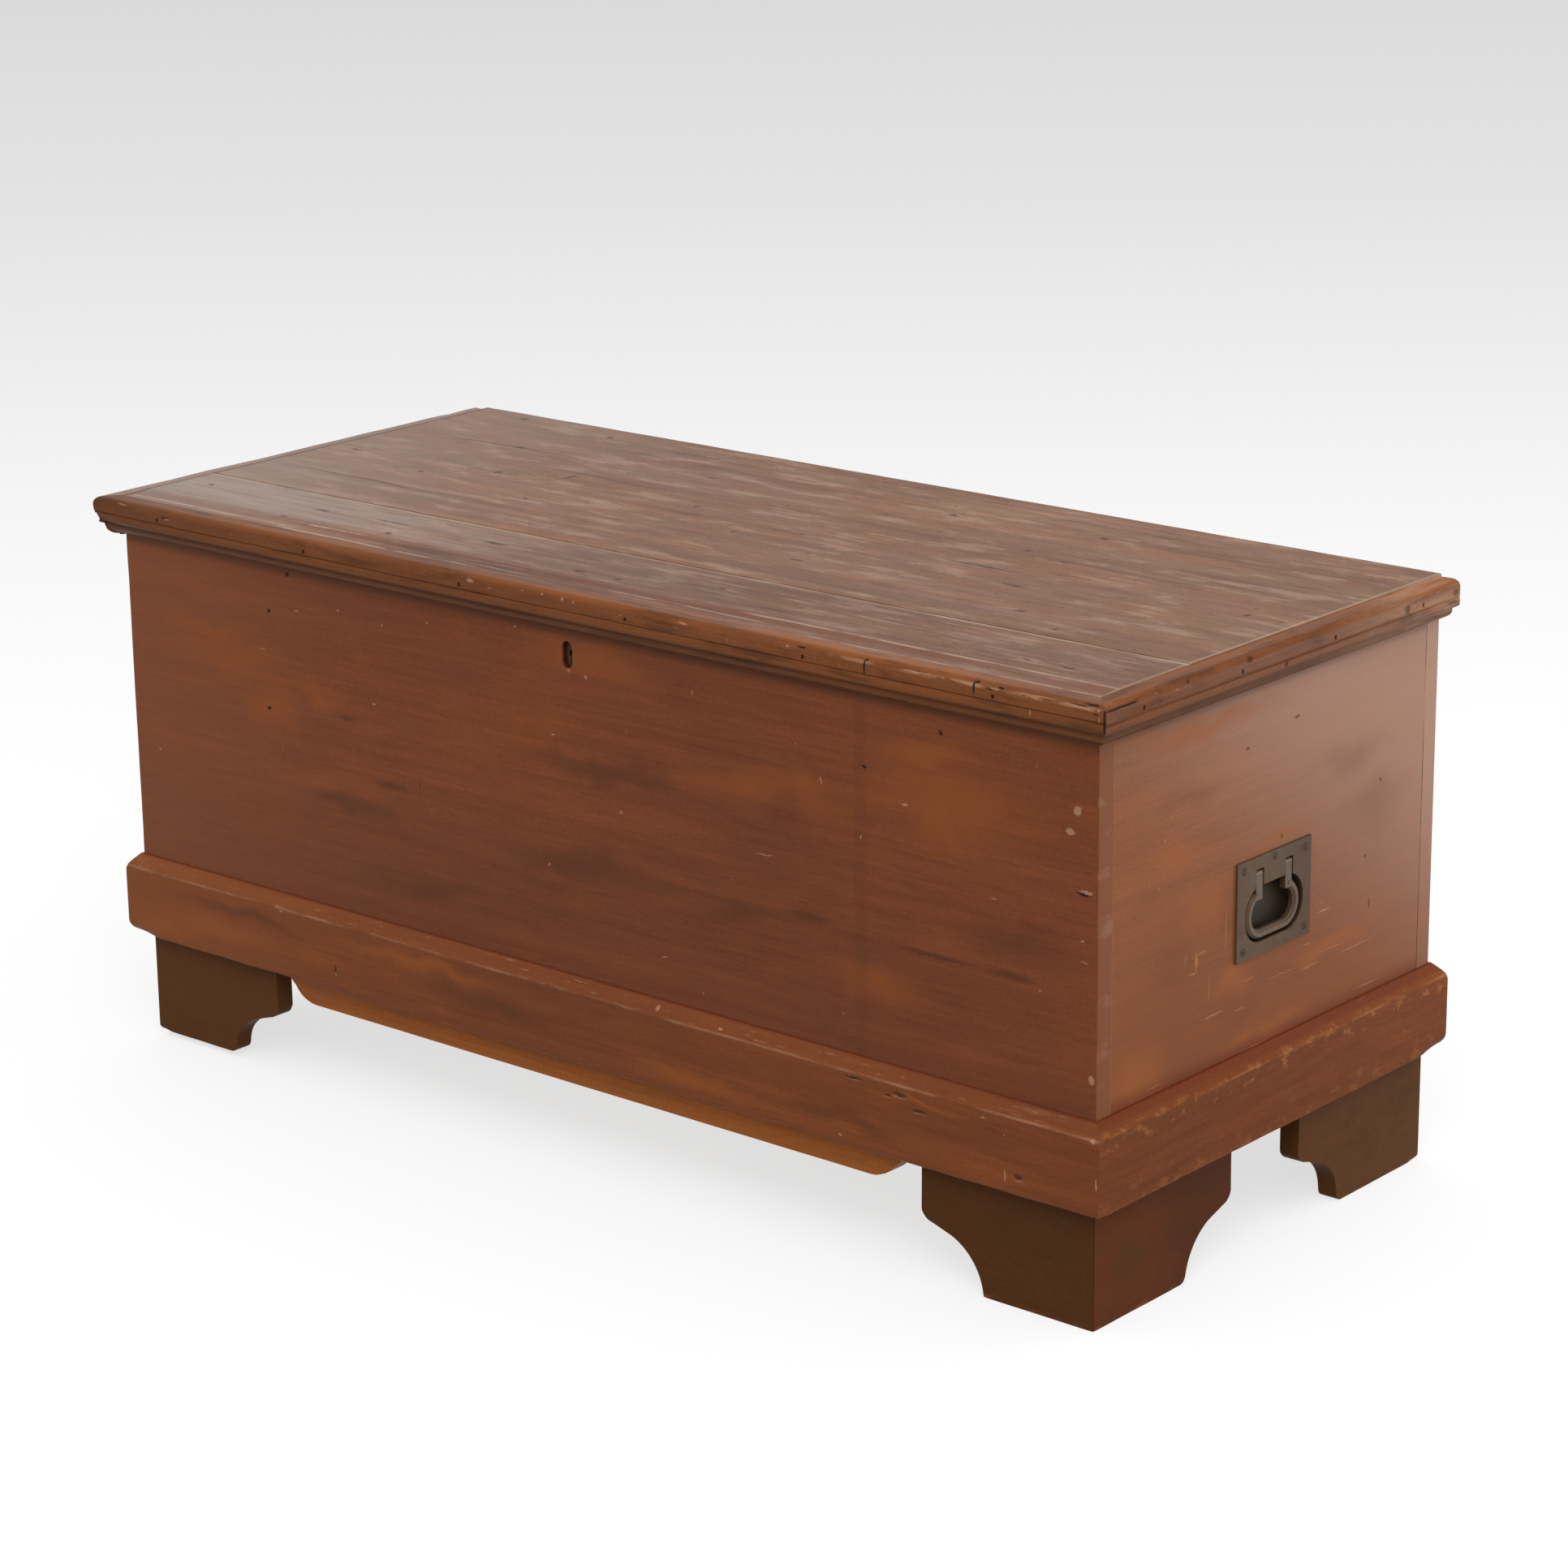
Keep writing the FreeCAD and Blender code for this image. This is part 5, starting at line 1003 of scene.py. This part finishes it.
def pick_arrises(piece, planes):
    """Selects the long, sharp, outward edges of an object in edit mode that lie in given planes."""
    bpy.ops.mesh.select_mode(type="EDGE")
    mesh = bmesh.from_edit_mesh(piece.data)
    for edge in mesh.edges:
        sharp = len(edge.link_faces) == 2 and edge.calc_face_angle_signed(0.0) > ARRIS_ANGLE
        outer = any(
            all(abs(vertex.co[AXES[axis]] - place) < ON_PLANE for vertex in edge.verts)
            for axis, place in planes
        )
        edge.select = sharp and outer and edge.calc_length() > SHORTEST_ARRIS
    mesh.select_flush_mode()
    bmesh.update_edit_mesh(piece.data)
    return any(edge.select for edge in mesh.edges)


def cut_across(axis, places):
    """Cuts the object in edit mode across an axis at each place."""
    normal = [0.0, 0.0, 0.0]
    normal[AXES[axis]] = 1.0
    for place in places:
        point = [0.0, 0.0, 0.0]
        point[AXES[axis]] = place
        bpy.ops.mesh.select_all(action="SELECT")
        bpy.ops.mesh.bisect(plane_co=point, plane_no=normal)


def steps(low, high, step):
    """Even places between two ends."""
    count = max(1, round((high - low) / step))
    return [low + (high - low) * index / count for index in range(1, count)]


def waver(place, swings, seed):
    """Smooth noise from 0 to 1 at a place."""
    shifted = Vector((seed * 3.7, seed * 1.3, seed * 2.1))
    return 0.5 + 0.5 * noise.noise(place * swings + shifted)


def ease(value):
    """Eases a number from 0 to 1."""
    value = min(1.0, max(0.0, value))
    return value * value * (3.0 - 2.0 * value)


def rub_arrises(piece, low, high, arris, seed):
    """Lets the width of the rubbed edges swell and shrink along them."""
    for vertex in piece.data.vertices:
        place = vertex.co.copy()
        inset = [min(place[a] - low[a], high[a] - place[a]) for a in range(3)]
        close = [a for a in range(3) if inset[a] < arris * 1.2]
        if len(close) < 2:
            continue
        swell = 0.45 + 1.3 * waver(place, 20.0, seed) ** 2
        swell += 2.4 * max(0.0, waver(place, 70.0, seed + 4.0) - 0.66)
        for a in close:
            from_low = place[a] - low[a] < high[a] - place[a]
            vertex.co[a] = low[a] + inset[a] * swell if from_low else high[a] - inset[a] * swell


def round_corner(piece, corner, radius, run, inwards, depth=None):
    """Rounds off a corner: within a radius of it along run, the surface draws back along each
    axis of inwards, by its sign. A depth makes it a shallow hollow that deep."""
    run = AXES[run]
    moved = {AXES[name]: sign for name, sign in inwards.items()}
    for vertex in piece.data.vertices:
        away = abs(vertex.co[run] - corner[run])
        if away >= radius:
            continue
        inset = radius - math.sqrt(radius ** 2 - (radius - away) ** 2)
        if depth:
            inset = depth * (1.0 - away / radius) ** 2
        reach = max(abs(vertex.co[a] - corner[a]) for a in moved)
        hold = 1.0 - ease(reach / (4.0 * radius))
        for a, sign in moved.items():
            vertex.co[a] += sign * inset * hold


def smooth(piece, steepest):
    """Smooth shading over shallow edges, with broad faces kept flat."""
    take(piece)
    bpy.ops.object.shade_smooth_by_angle(angle=steepest)
    weighted = piece.modifiers.new("broad_faces", "WEIGHTED_NORMAL")
    weighted.keep_sharp = True
    bpy.ops.object.modifier_apply(modifier=weighted.name)


def settle(piece, node, body, finish, steepest=BOARD_ANGLE):
    """Smooths a finished piece and lets it stand for its packed one."""
    smooth(piece, steepest)
    paint(piece, FINISHES[finish])
    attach(piece, body)
    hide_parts(node)


def worn_piece(node, sizes, axis, seed, planes, extra=()):
    """A copy of a packed board with rubbed, wavy arrises in the given planes.

    extra holds further cuts, each an axis and its places, for shaping afterwards.
    """
    piece = copy_of(node)
    low, high = piece_box(piece)
    take(piece)
    bpy.ops.object.mode_set(mode="EDIT")
    if pick_arrises(piece, planes):
        bpy.ops.mesh.bevel(offset=sizes.arris, segments=2, affect="EDGES")
    along_axis = AXES[axis]
    cut_across(axis, steps(low[along_axis], high[along_axis], sizes.slice))
    for name, places in extra:
        cut_across(name, places)
    bpy.ops.mesh.select_all(action="DESELECT")
    bpy.ops.object.mode_set(mode="OBJECT")
    rub_arrises(piece, low, high, sizes.arris, seed)
    return piece


def cuts_near(axis, place, inwards, radius):
    """Cuts close together beside a place, for rounding a corner there."""
    return (axis, [place + inwards * radius * part for part in CORNER_PARTS])


# ---------------------------------------------------------------- operators

FINISHES = {}
SLOTS = {entry["node"]: entry["material_slot"] for entry in frame["record"]["subparts"]}


class CHEST_OT_finishes(bpy.types.Operator):
    """Every finish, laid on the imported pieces."""

    bl_idname = "chest.finishes"
    bl_label = "Finishes"

    def execute(self, context):
        FINISHES.update(make_finishes())
        painted_over = {
            "case_nails": "front_panel_wood", "skirt_nails": "skirt_wood",
            "bail_left": "bail_iron", "bail_right": "bail_iron",
            "handle_pan_left": "pan_iron", "handle_pan_right": "pan_iron",
        }
        for name, node in frame["nodes"].items():
            paint(node, FINISHES[painted_over.get(name, SLOTS[name])])
        return {"FINISHED"}


class CHEST_OT_case_boards(bpy.types.Operator):
    """Front, back and end boards of the case."""

    bl_idname = "chest.case_boards"
    bl_label = "Case boards"

    def execute(self, context):
        sizes = context.scene.chest_sizes
        levels = steps(FRONT_LOW.z, FRONT_HIGH.z, sizes.slice)
        for node, axis, seed, planes, cuts, finish in (
            ("front_board", "X", 1.0, [("Y", FRONT_LOW.y)], [("Z", levels)], "front_panel_wood"),
            ("back_board", "X", 2.0, [("Y", BACK_HIGH.y)], [], "back_wood"),
            ("left_end_board", "Y", 3.0, [], [], "case_wood"),
            ("right_end_board", "Y", 3.0, [], [], "case_wood"),
        ):
            piece = worn_piece(node, sizes, axis, seed, planes, cuts)
            settle(piece, node, "case", finish)
        return {"FINISHED"}


class CHEST_OT_lid(bpy.types.Operator):
    """Boards and mouldings of the lid."""

    bl_idname = "chest.lid"
    bl_label = "Lid"

    def execute(self, context):
        sizes = context.scene.chest_sizes
        ends = [("X", LID_LOW.x), ("X", LID_HIGH.x)]
        back = worn_piece("lid_back_board", sizes, "X", 5.0, [*ends, ("Y", LID_HIGH.y)])
        taper_joint(back)
        settle(back, "lid_back_board", "lid", "lid_wood")
        edge = LID_FRONT_LOW.y
        inner = steps(edge, edge + sizes.worn_front + 0.006, 0.0022)
        front = worn_piece("lid_front_board", sizes, "X", 6.0, ends, [("Y", inner)])
        wear_front_edge(front, sizes)
        taper_joint(front)
        settle(front, "lid_front_board", "lid", "lid_wood", HOLLOW_ANGLE)
        piece = worn_piece("lid_front_moulding", sizes, "X", 7.0, [("Z", NOSE_LOW.z)])
        shape_moulding(
            piece, 7.0, lambda at: 0.0015 + 0.0014 * (1.0 - (at.x / NOSE_HIGH.x) ** 2),
            lambda at: 0.002 * ease(-at.x / NOSE_HIGH.x),
        )
        wear_nose_end(piece)
        settle(piece, "lid_front_moulding", "lid", "moulding_wood")
        for side in ("left", "right"):
            node = f"lid_{side}_moulding"
            low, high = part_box(node)
            cuts = [cuts_near("Y", high.y, -1.0, sizes.lid_corner)]
            piece = worn_piece(node, sizes, "Y", 8.0, [("Y", high.y)], cuts)
            shape_moulding(piece, 8.0, lambda at: 0.004, lambda at: 0.0)
            if side == "left":
                wear_nose_end(piece)
            for level in (high.z, low.z):
                corner = Vector((0.0, high.y, level))
                round_corner(piece, corner, sizes.lid_corner, "Z", {"Y": -1.0})
            settle(piece, node, "lid", "end_moulding_wood")
        return {"FINISHED"}


def wear_nose_end(piece):
    """Hollows the lid moulding's front left corner below its nose."""
    corner = Vector((NOSE_LOW.x, NOSE_LOW.y, NOSE_HIGH.z - NOSE_STEP))
    round_corner(piece, corner, NOSE_WEAR.x, "Z", {"X": 1.0, "Y": 1.0}, NOSE_WEAR.y)


def wear_front_edge(piece, sizes):
    """Hollows the lid's front edge, worn by years of hands, in long waves."""
    edge, top = LID_FRONT_LOW.y, LID_FRONT_HIGH.z
    for vertex in piece.data.vertices:
        place = vertex.co
        if top - place.z > MARGIN:
            continue
        width = sizes.worn_front * (0.75 + 0.5 * waver(Vector((place.x, 0.0, 0.0)), 6.0, 13.0))
        part = 1.0 - (place.y - edge) / width
        if part <= 0.0:
            continue
        ripple = waver(Vector((place.x * 9.0, place.y * 90.0, 0.0)), 1.0, 14.0)
        depth = sizes.worn_depth * ease(part * 1.6) * (0.55 + 0.75 * ripple)
        vertex.co.z = max(place.z - depth, NOSE_HIGH.z - 0.0008)


def shape_moulding(piece, seed, drop, lift):
    """Lets the quirk sag by drop and the low edge rise by lift, and rubs the nose."""
    top, low = NOSE_HIGH.z, NOSE_LOW.z
    quirk = top - QUIRK
    for vertex in piece.data.vertices:
        place = vertex.co.copy()
        if place.z > quirk:
            vertex.co.z -= drop(place) * (top - place.z) / QUIRK
        else:
            part = (place.z - low) / (quirk - low)
            vertex.co.z += lift(place) * (1.0 - part) - drop(place) * part
        proud = max(abs(place.x) - END_NOSE_LOW.x, LID_FRONT_LOW.y - place.y)
        if proud < MARGIN or place.z < quirk:
            continue
        rub = 0.0008 * waver(place, 26.0, seed) + 0.0016 * max(0.0, waver(place, 60.0, seed) - 0.64)
        vertex.co.z -= rub if place.z > top - NOSE_BAND else 0.0
        if place.y < LID_FRONT_LOW.y - MARGIN and abs(place.x) < END_NOSE_LOW.x:
            vertex.co.y += rub
        elif abs(place.x) > END_NOSE_LOW.x + MARGIN and place.y > LID_FRONT_LOW.y:
            vertex.co.x -= math.copysign(rub, place.x)


def taper_joint(piece):
    """Slants the joint between the lid's boards, whose front one narrows to the left."""
    for vertex in piece.data.vertices:
        if abs(vertex.co.y - LID_FRONT_HIGH.y) < MARGIN:
            vertex.co.y -= LID_TAPER * (LID_HIGH.x - vertex.co.x)


class CHEST_OT_base(bpy.types.Operator):
    """Base moulding, bracket feet and apron."""

    bl_idname = "chest.base"
    bl_label = "Base"

    def execute(self, context):
        sizes = context.scene.chest_sizes
        for side, axis in (("front", "X"), ("back", "X"), ("left", "Y"), ("right", "Y")):
            self.skirt(f"skirt_{side}", axis, sizes)
        for number, node in enumerate(sorted(n for n in frame["nodes"] if "_foot_" in n)):
            self.foot(node, number, sizes)
        piece = worn_piece("apron_front", sizes, "X", 30.0, [("Y", APRON_LOW.y)])
        draw_in_scrolls(piece)
        settle(piece, "apron_front", "case", "apron_wood")
        return {"FINISHED"}

    def skirt(self, node, axis, sizes):
        """One side of the base moulding, its worn corners rounded."""
        radius = sizes.skirt_corner
        low, high = SKIRT_LOW.z, SKIRT_HIGH.z - SKIRT_BEVEL
        cuts = [cuts_near("Z", low, 1.0, radius), cuts_near("Z", high, -1.0, BEVEL_WEAR.x)]
        ends = {"X": (SKIRT_LOW.x, SKIRT_HIGH.x), "Y": (SKIRT_END_LOW.y, SKIRT_END_HIGH.y)}
        for place, inwards in zip(ends[axis], (1.0, -1.0)):
            cuts.append(cuts_near(axis, place, inwards, radius))
        piece = worn_piece(node, sizes, axis, 10.0, [("Z", low)], cuts)
        for x in ends["X"]:
            for y in ends["Y"]:
                inwards = {"X": -math.copysign(1.0, x), "Y": -math.copysign(1.0, y)}
                near = x > 0.0 and y < 0.0
                bend = radius * (0.2 if near else 1.0)
                round_corner(piece, Vector((x, y, low)), bend, "Z", inwards)
                arris = Vector((x, y, high))
                round_corner(piece, arris, BEVEL_WEAR.x, "Z", inwards, BEVEL_WEAR.y)
        settle(piece, node, "case", "skirt_wood" if axis == "X" else "end_skirt_wood")

    def foot(self, node, number, sizes):
        """One bracket board, its heel and the side boards' toes rounded."""
        sideways = node.endswith("side")
        axis = "Y" if sideways else "X"
        low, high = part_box(node)
        side = 1.0 if low.x > 0.0 else -1.0
        end = 1.0 if low.y > 0.0 else -1.0
        heel = Vector((side * FOOT_HIGH.x, BACK_HIGH.y if end > 0.0 else FOOT_LOW.y, 0.0))
        near = side > 0.0 > end
        radius = sizes.foot_corner * (0.25 if near else 1.0)
        blunt = sizes.toe * (0.3 if near and not sideways else 1.0)
        cuts = [cuts_near("Z", 0.0, 1.0, max(blunt, sizes.foot_corner))]
        run = AXES[axis]
        heelwards = end if sideways else side
        cuts.append(cuts_near(axis, heel[run], -heelwards, radius))
        toe = Vector()
        toe[run] = (high[run] if heelwards < 0.0 else low[run]) + heelwards * SCROLL_RUN
        cuts.append(cuts_near(axis, toe[run], heelwards, blunt))
        planes = [("Z", low.z), ("Y", low.y if end < 0.0 else high.y),
                  ("X", high.x if side > 0.0 else low.x)]
        piece = worn_piece(node, sizes, axis, 20.0 + number, planes, cuts)
        round_corner(piece, heel, radius, "Z", {"X": -side, "Y": -end})
        if not node.endswith("back"):
            round_corner(piece, toe, blunt, "Z", {axis: heelwards})
            if not near:
                spread_toe(piece, toe, run, heelwards)
        if end < 0.0 and side < 0.0:
            wear_short(piece)
        finish = "foot_wood"
        if sideways:
            finish = "side_foot_wood" if end < 0.0 else "rear_foot_wood"
        settle(piece, node, "case", finish)


def spread_toe(piece, toe, run, heelwards):
    """Lets a bracket's toe run out a little further at the floor, away from its heel."""
    for vertex in piece.data.vertices:
        inside = (vertex.co[run] - toe[run]) * heelwards
        hold = (1.0 - ease(inside / TOE_RISE)) * (1.0 - ease(vertex.co.z / TOE_RISE))
        vertex.co[run] -= heelwards * TOE_SPREAD * hold


def wear_short(piece):
    """Shortens a foot at the floor."""
    for vertex in piece.data.vertices:
        vertex.co.z += FOOT_WEAR * (1.0 - ease(vertex.co.z / FOOT_RISE))


def draw_in_scrolls(piece):
    """Shortens the apron's two scrolls, more at the base moulding than at their foot."""
    for vertex in piece.data.vertices:
        end = -1 if vertex.co.x < 0.0 else 1
        high, low = APRON_DRAW[end]
        rise = (vertex.co.z - APRON_LOW.z) / (APRON_HIGH.z - APRON_LOW.z)
        away = min(vertex.co.x - APRON_LOW.x, APRON_HIGH.x - vertex.co.x)
        hold = 1.0 - ease((away - SCROLL_REACH) / SCROLL_FADE)
        vertex.co.x += hold * (low + (high - low) * min(1.0, 2.0 * rise))


class CHEST_OT_studio(bpy.types.Operator):
    """Floor, lamps, room light and camera."""

    bl_idname = "chest.studio"
    bl_label = "Studio"

    def execute(self, context):
        studio = context.scene.chest_studio
        lay_floor(studio)
        light_room(context.scene, studio)
        hang_lamps(studio)
        stand_camera(context.scene, studio)
        context.scene.view_settings.view_transform = "Standard"
        return {"FINISHED"}


# Brightness of the floor as it is seen, by its distance past the chest in metres
FLOOR_LOOK = [(0.0, 1.0), (1.0, 0.98), (2.2, 0.915), (3.7, 0.83), (5.5, 0.757), (9.4, 0.694)]


def lay_floor(studio):
    """A wide pale floor whose far side greys off, and which keeps the chest's shadow."""
    select_none()
    bpy.ops.mesh.primitive_plane_add(size=studio.floor_span, location=(0.0, 0.0, 0.0))
    floor = bpy.context.active_object
    floor.name = "floor"
    paper = Finish("floor_paper", "paper", 0.9)
    heading = (-math.sin(studio.azimuth), math.cos(studio.azimuth), 0.0)
    away = paper.vector("DOT_PRODUCT", paper.place, heading)
    look = paper.add("ShaderNodeValToRGB", Fac=paper.math("DIVIDE", away, FLOOR_LOOK[-1][0]))
    stops = look.color_ramp.elements
    stops.remove(stops[-1])
    for distance, level in FLOOR_LOOK:
        stop = stops.new(distance / FLOOR_LOOK[-1][0])
        stop.color = (level, level, level, 1.0)
    stops.remove(stops[0])
    path = paper.add("ShaderNodeLightPath")
    seen = paper.math("MAXIMUM", path.outputs["Is Camera Ray"], path.outputs["Is Glossy Ray"])
    seen = paper.math("MAXIMUM", seen, path.outputs["Is Transmission Ray"])
    glow = paper.math("SUBTRACT", look.outputs["Color"], studio.floor_lit)
    light = paper.add("ShaderNodeEmission", Strength=paper.math("MULTIPLY", seen, glow))
    matt = paper.add("ShaderNodeBsdfDiffuse", Color=on_screen("paper"))
    both = paper.add("ShaderNodeAddShader")
    paper.set(both.inputs[0], matt.outputs[0])
    paper.set(both.inputs[1], light.outputs[0])
    output = paper.add("ShaderNodeOutputMaterial")
    paper.set(output.inputs["Surface"], both.outputs[0])
    paint(floor, paper.material)


def light_room(scene, studio):
    """Even white light from all round."""
    world = bpy.data.worlds.new("room")
    scene.world = world
    world.use_nodes = True
    background = world.node_tree.nodes["Background"]
    background.inputs["Color"].default_value = (1.0, 1.0, 1.0, 1.0)
    background.inputs["Strength"].default_value = studio.sky


def soft_lamp(name, place, target, width, height, power):
    """A rectangular soft lamp aimed at a point."""
    bpy.ops.object.light_add(type="AREA", location=place)
    lamp = bpy.context.active_object
    lamp.name = name
    lamp.data.shape = "RECTANGLE"
    lamp.data.size = width
    lamp.data.size_y = height
    lamp.data.energy = power
    lamp.rotation_euler = (Vector(target) - Vector(place)).to_track_quat("-Z", "Y").to_euler()
    lamp.visible_camera = False


def hang_lamps(studio):
    """A fill high before the near corner and a low rim lamp beyond the right end."""
    select_none()
    soft_lamp("fill_lamp", place=(2.4, -2.8, 3.2), target=(0.0, 0.0, 0.3), width=2.0, height=2.0,
              power=studio.fill)
    soft_lamp("rim_lamp", place=(1.6, 1.6, 0.3), target=(0.6, 0.1, 0.4), width=1.0, height=0.5,
              power=studio.rim)


def stand_camera(scene, studio):
    """The camera at its stand, turned and leaned."""
    turn, rise, lean = studio.azimuth, studio.elevation, studio.roll
    back = Vector((math.sin(turn), -math.cos(turn), 0.0)) * math.cos(rise)
    back.z = math.sin(rise)
    level = Vector((0.0, 0.0, 1.0)).cross(back).normalized()
    upright = back.cross(level)
    right = math.cos(lean) * level + math.sin(lean) * upright
    top = -math.sin(lean) * level + math.cos(lean) * upright
    data = bpy.data.cameras.new("camera")
    data.lens = studio.lens
    data.sensor_fit = "HORIZONTAL"
    data.sensor_width = SENSOR_WIDTH
    camera = bpy.data.objects.new("camera", data)
    scene.collection.objects.link(camera)
    place = Matrix((right, top, back)).transposed().to_4x4()
    place.translation = Vector(studio.stand)
    camera.matrix_world = place
    scene.camera = camera


class CHEST_PT_panel(bpy.types.Panel):
    """Lists the steps that dress the chest."""

    bl_idname = "CHEST_PT_panel"
    bl_label = "Blanket Chest"
    bl_space_type = "VIEW_3D"
    bl_region_type = "UI"
    bl_category = "Chest"

    def draw(self, context):
        for operator in OPERATORS:
            self.layout.operator(operator.bl_idname)


SETTINGS = {
    "chest_colours": ChestColours,
    "chest_sizes": ChestSizes,
    "chest_studio": StudioSettings,
}
OPERATORS = (
    CHEST_OT_finishes,
    CHEST_OT_case_boards,
    CHEST_OT_lid,
    CHEST_OT_base,
    CHEST_OT_studio,
)


def register():
    """Makes the settings, the operators and the panel known."""
    for name, group in SETTINGS.items():
        bpy.utils.register_class(group)
        setattr(bpy.types.Scene, name, PointerProperty(type=group))
    for entry in (*OPERATORS, CHEST_PT_panel):
        bpy.utils.register_class(entry)


def unregister():
    """Takes them away again."""
    for entry in (CHEST_PT_panel, *OPERATORS):
        bpy.utils.unregister_class(entry)
    for name, group in SETTINGS.items():
        delattr(bpy.types.Scene, name)
        bpy.utils.unregister_class(group)


def main():
    """Dresses the chest, step by step."""
    register()
    for operator in OPERATORS:
        group, name = operator.bl_idname.split(".")
        getattr(getattr(bpy.ops, group), name)()


if __name__ == "__main__":
    main()
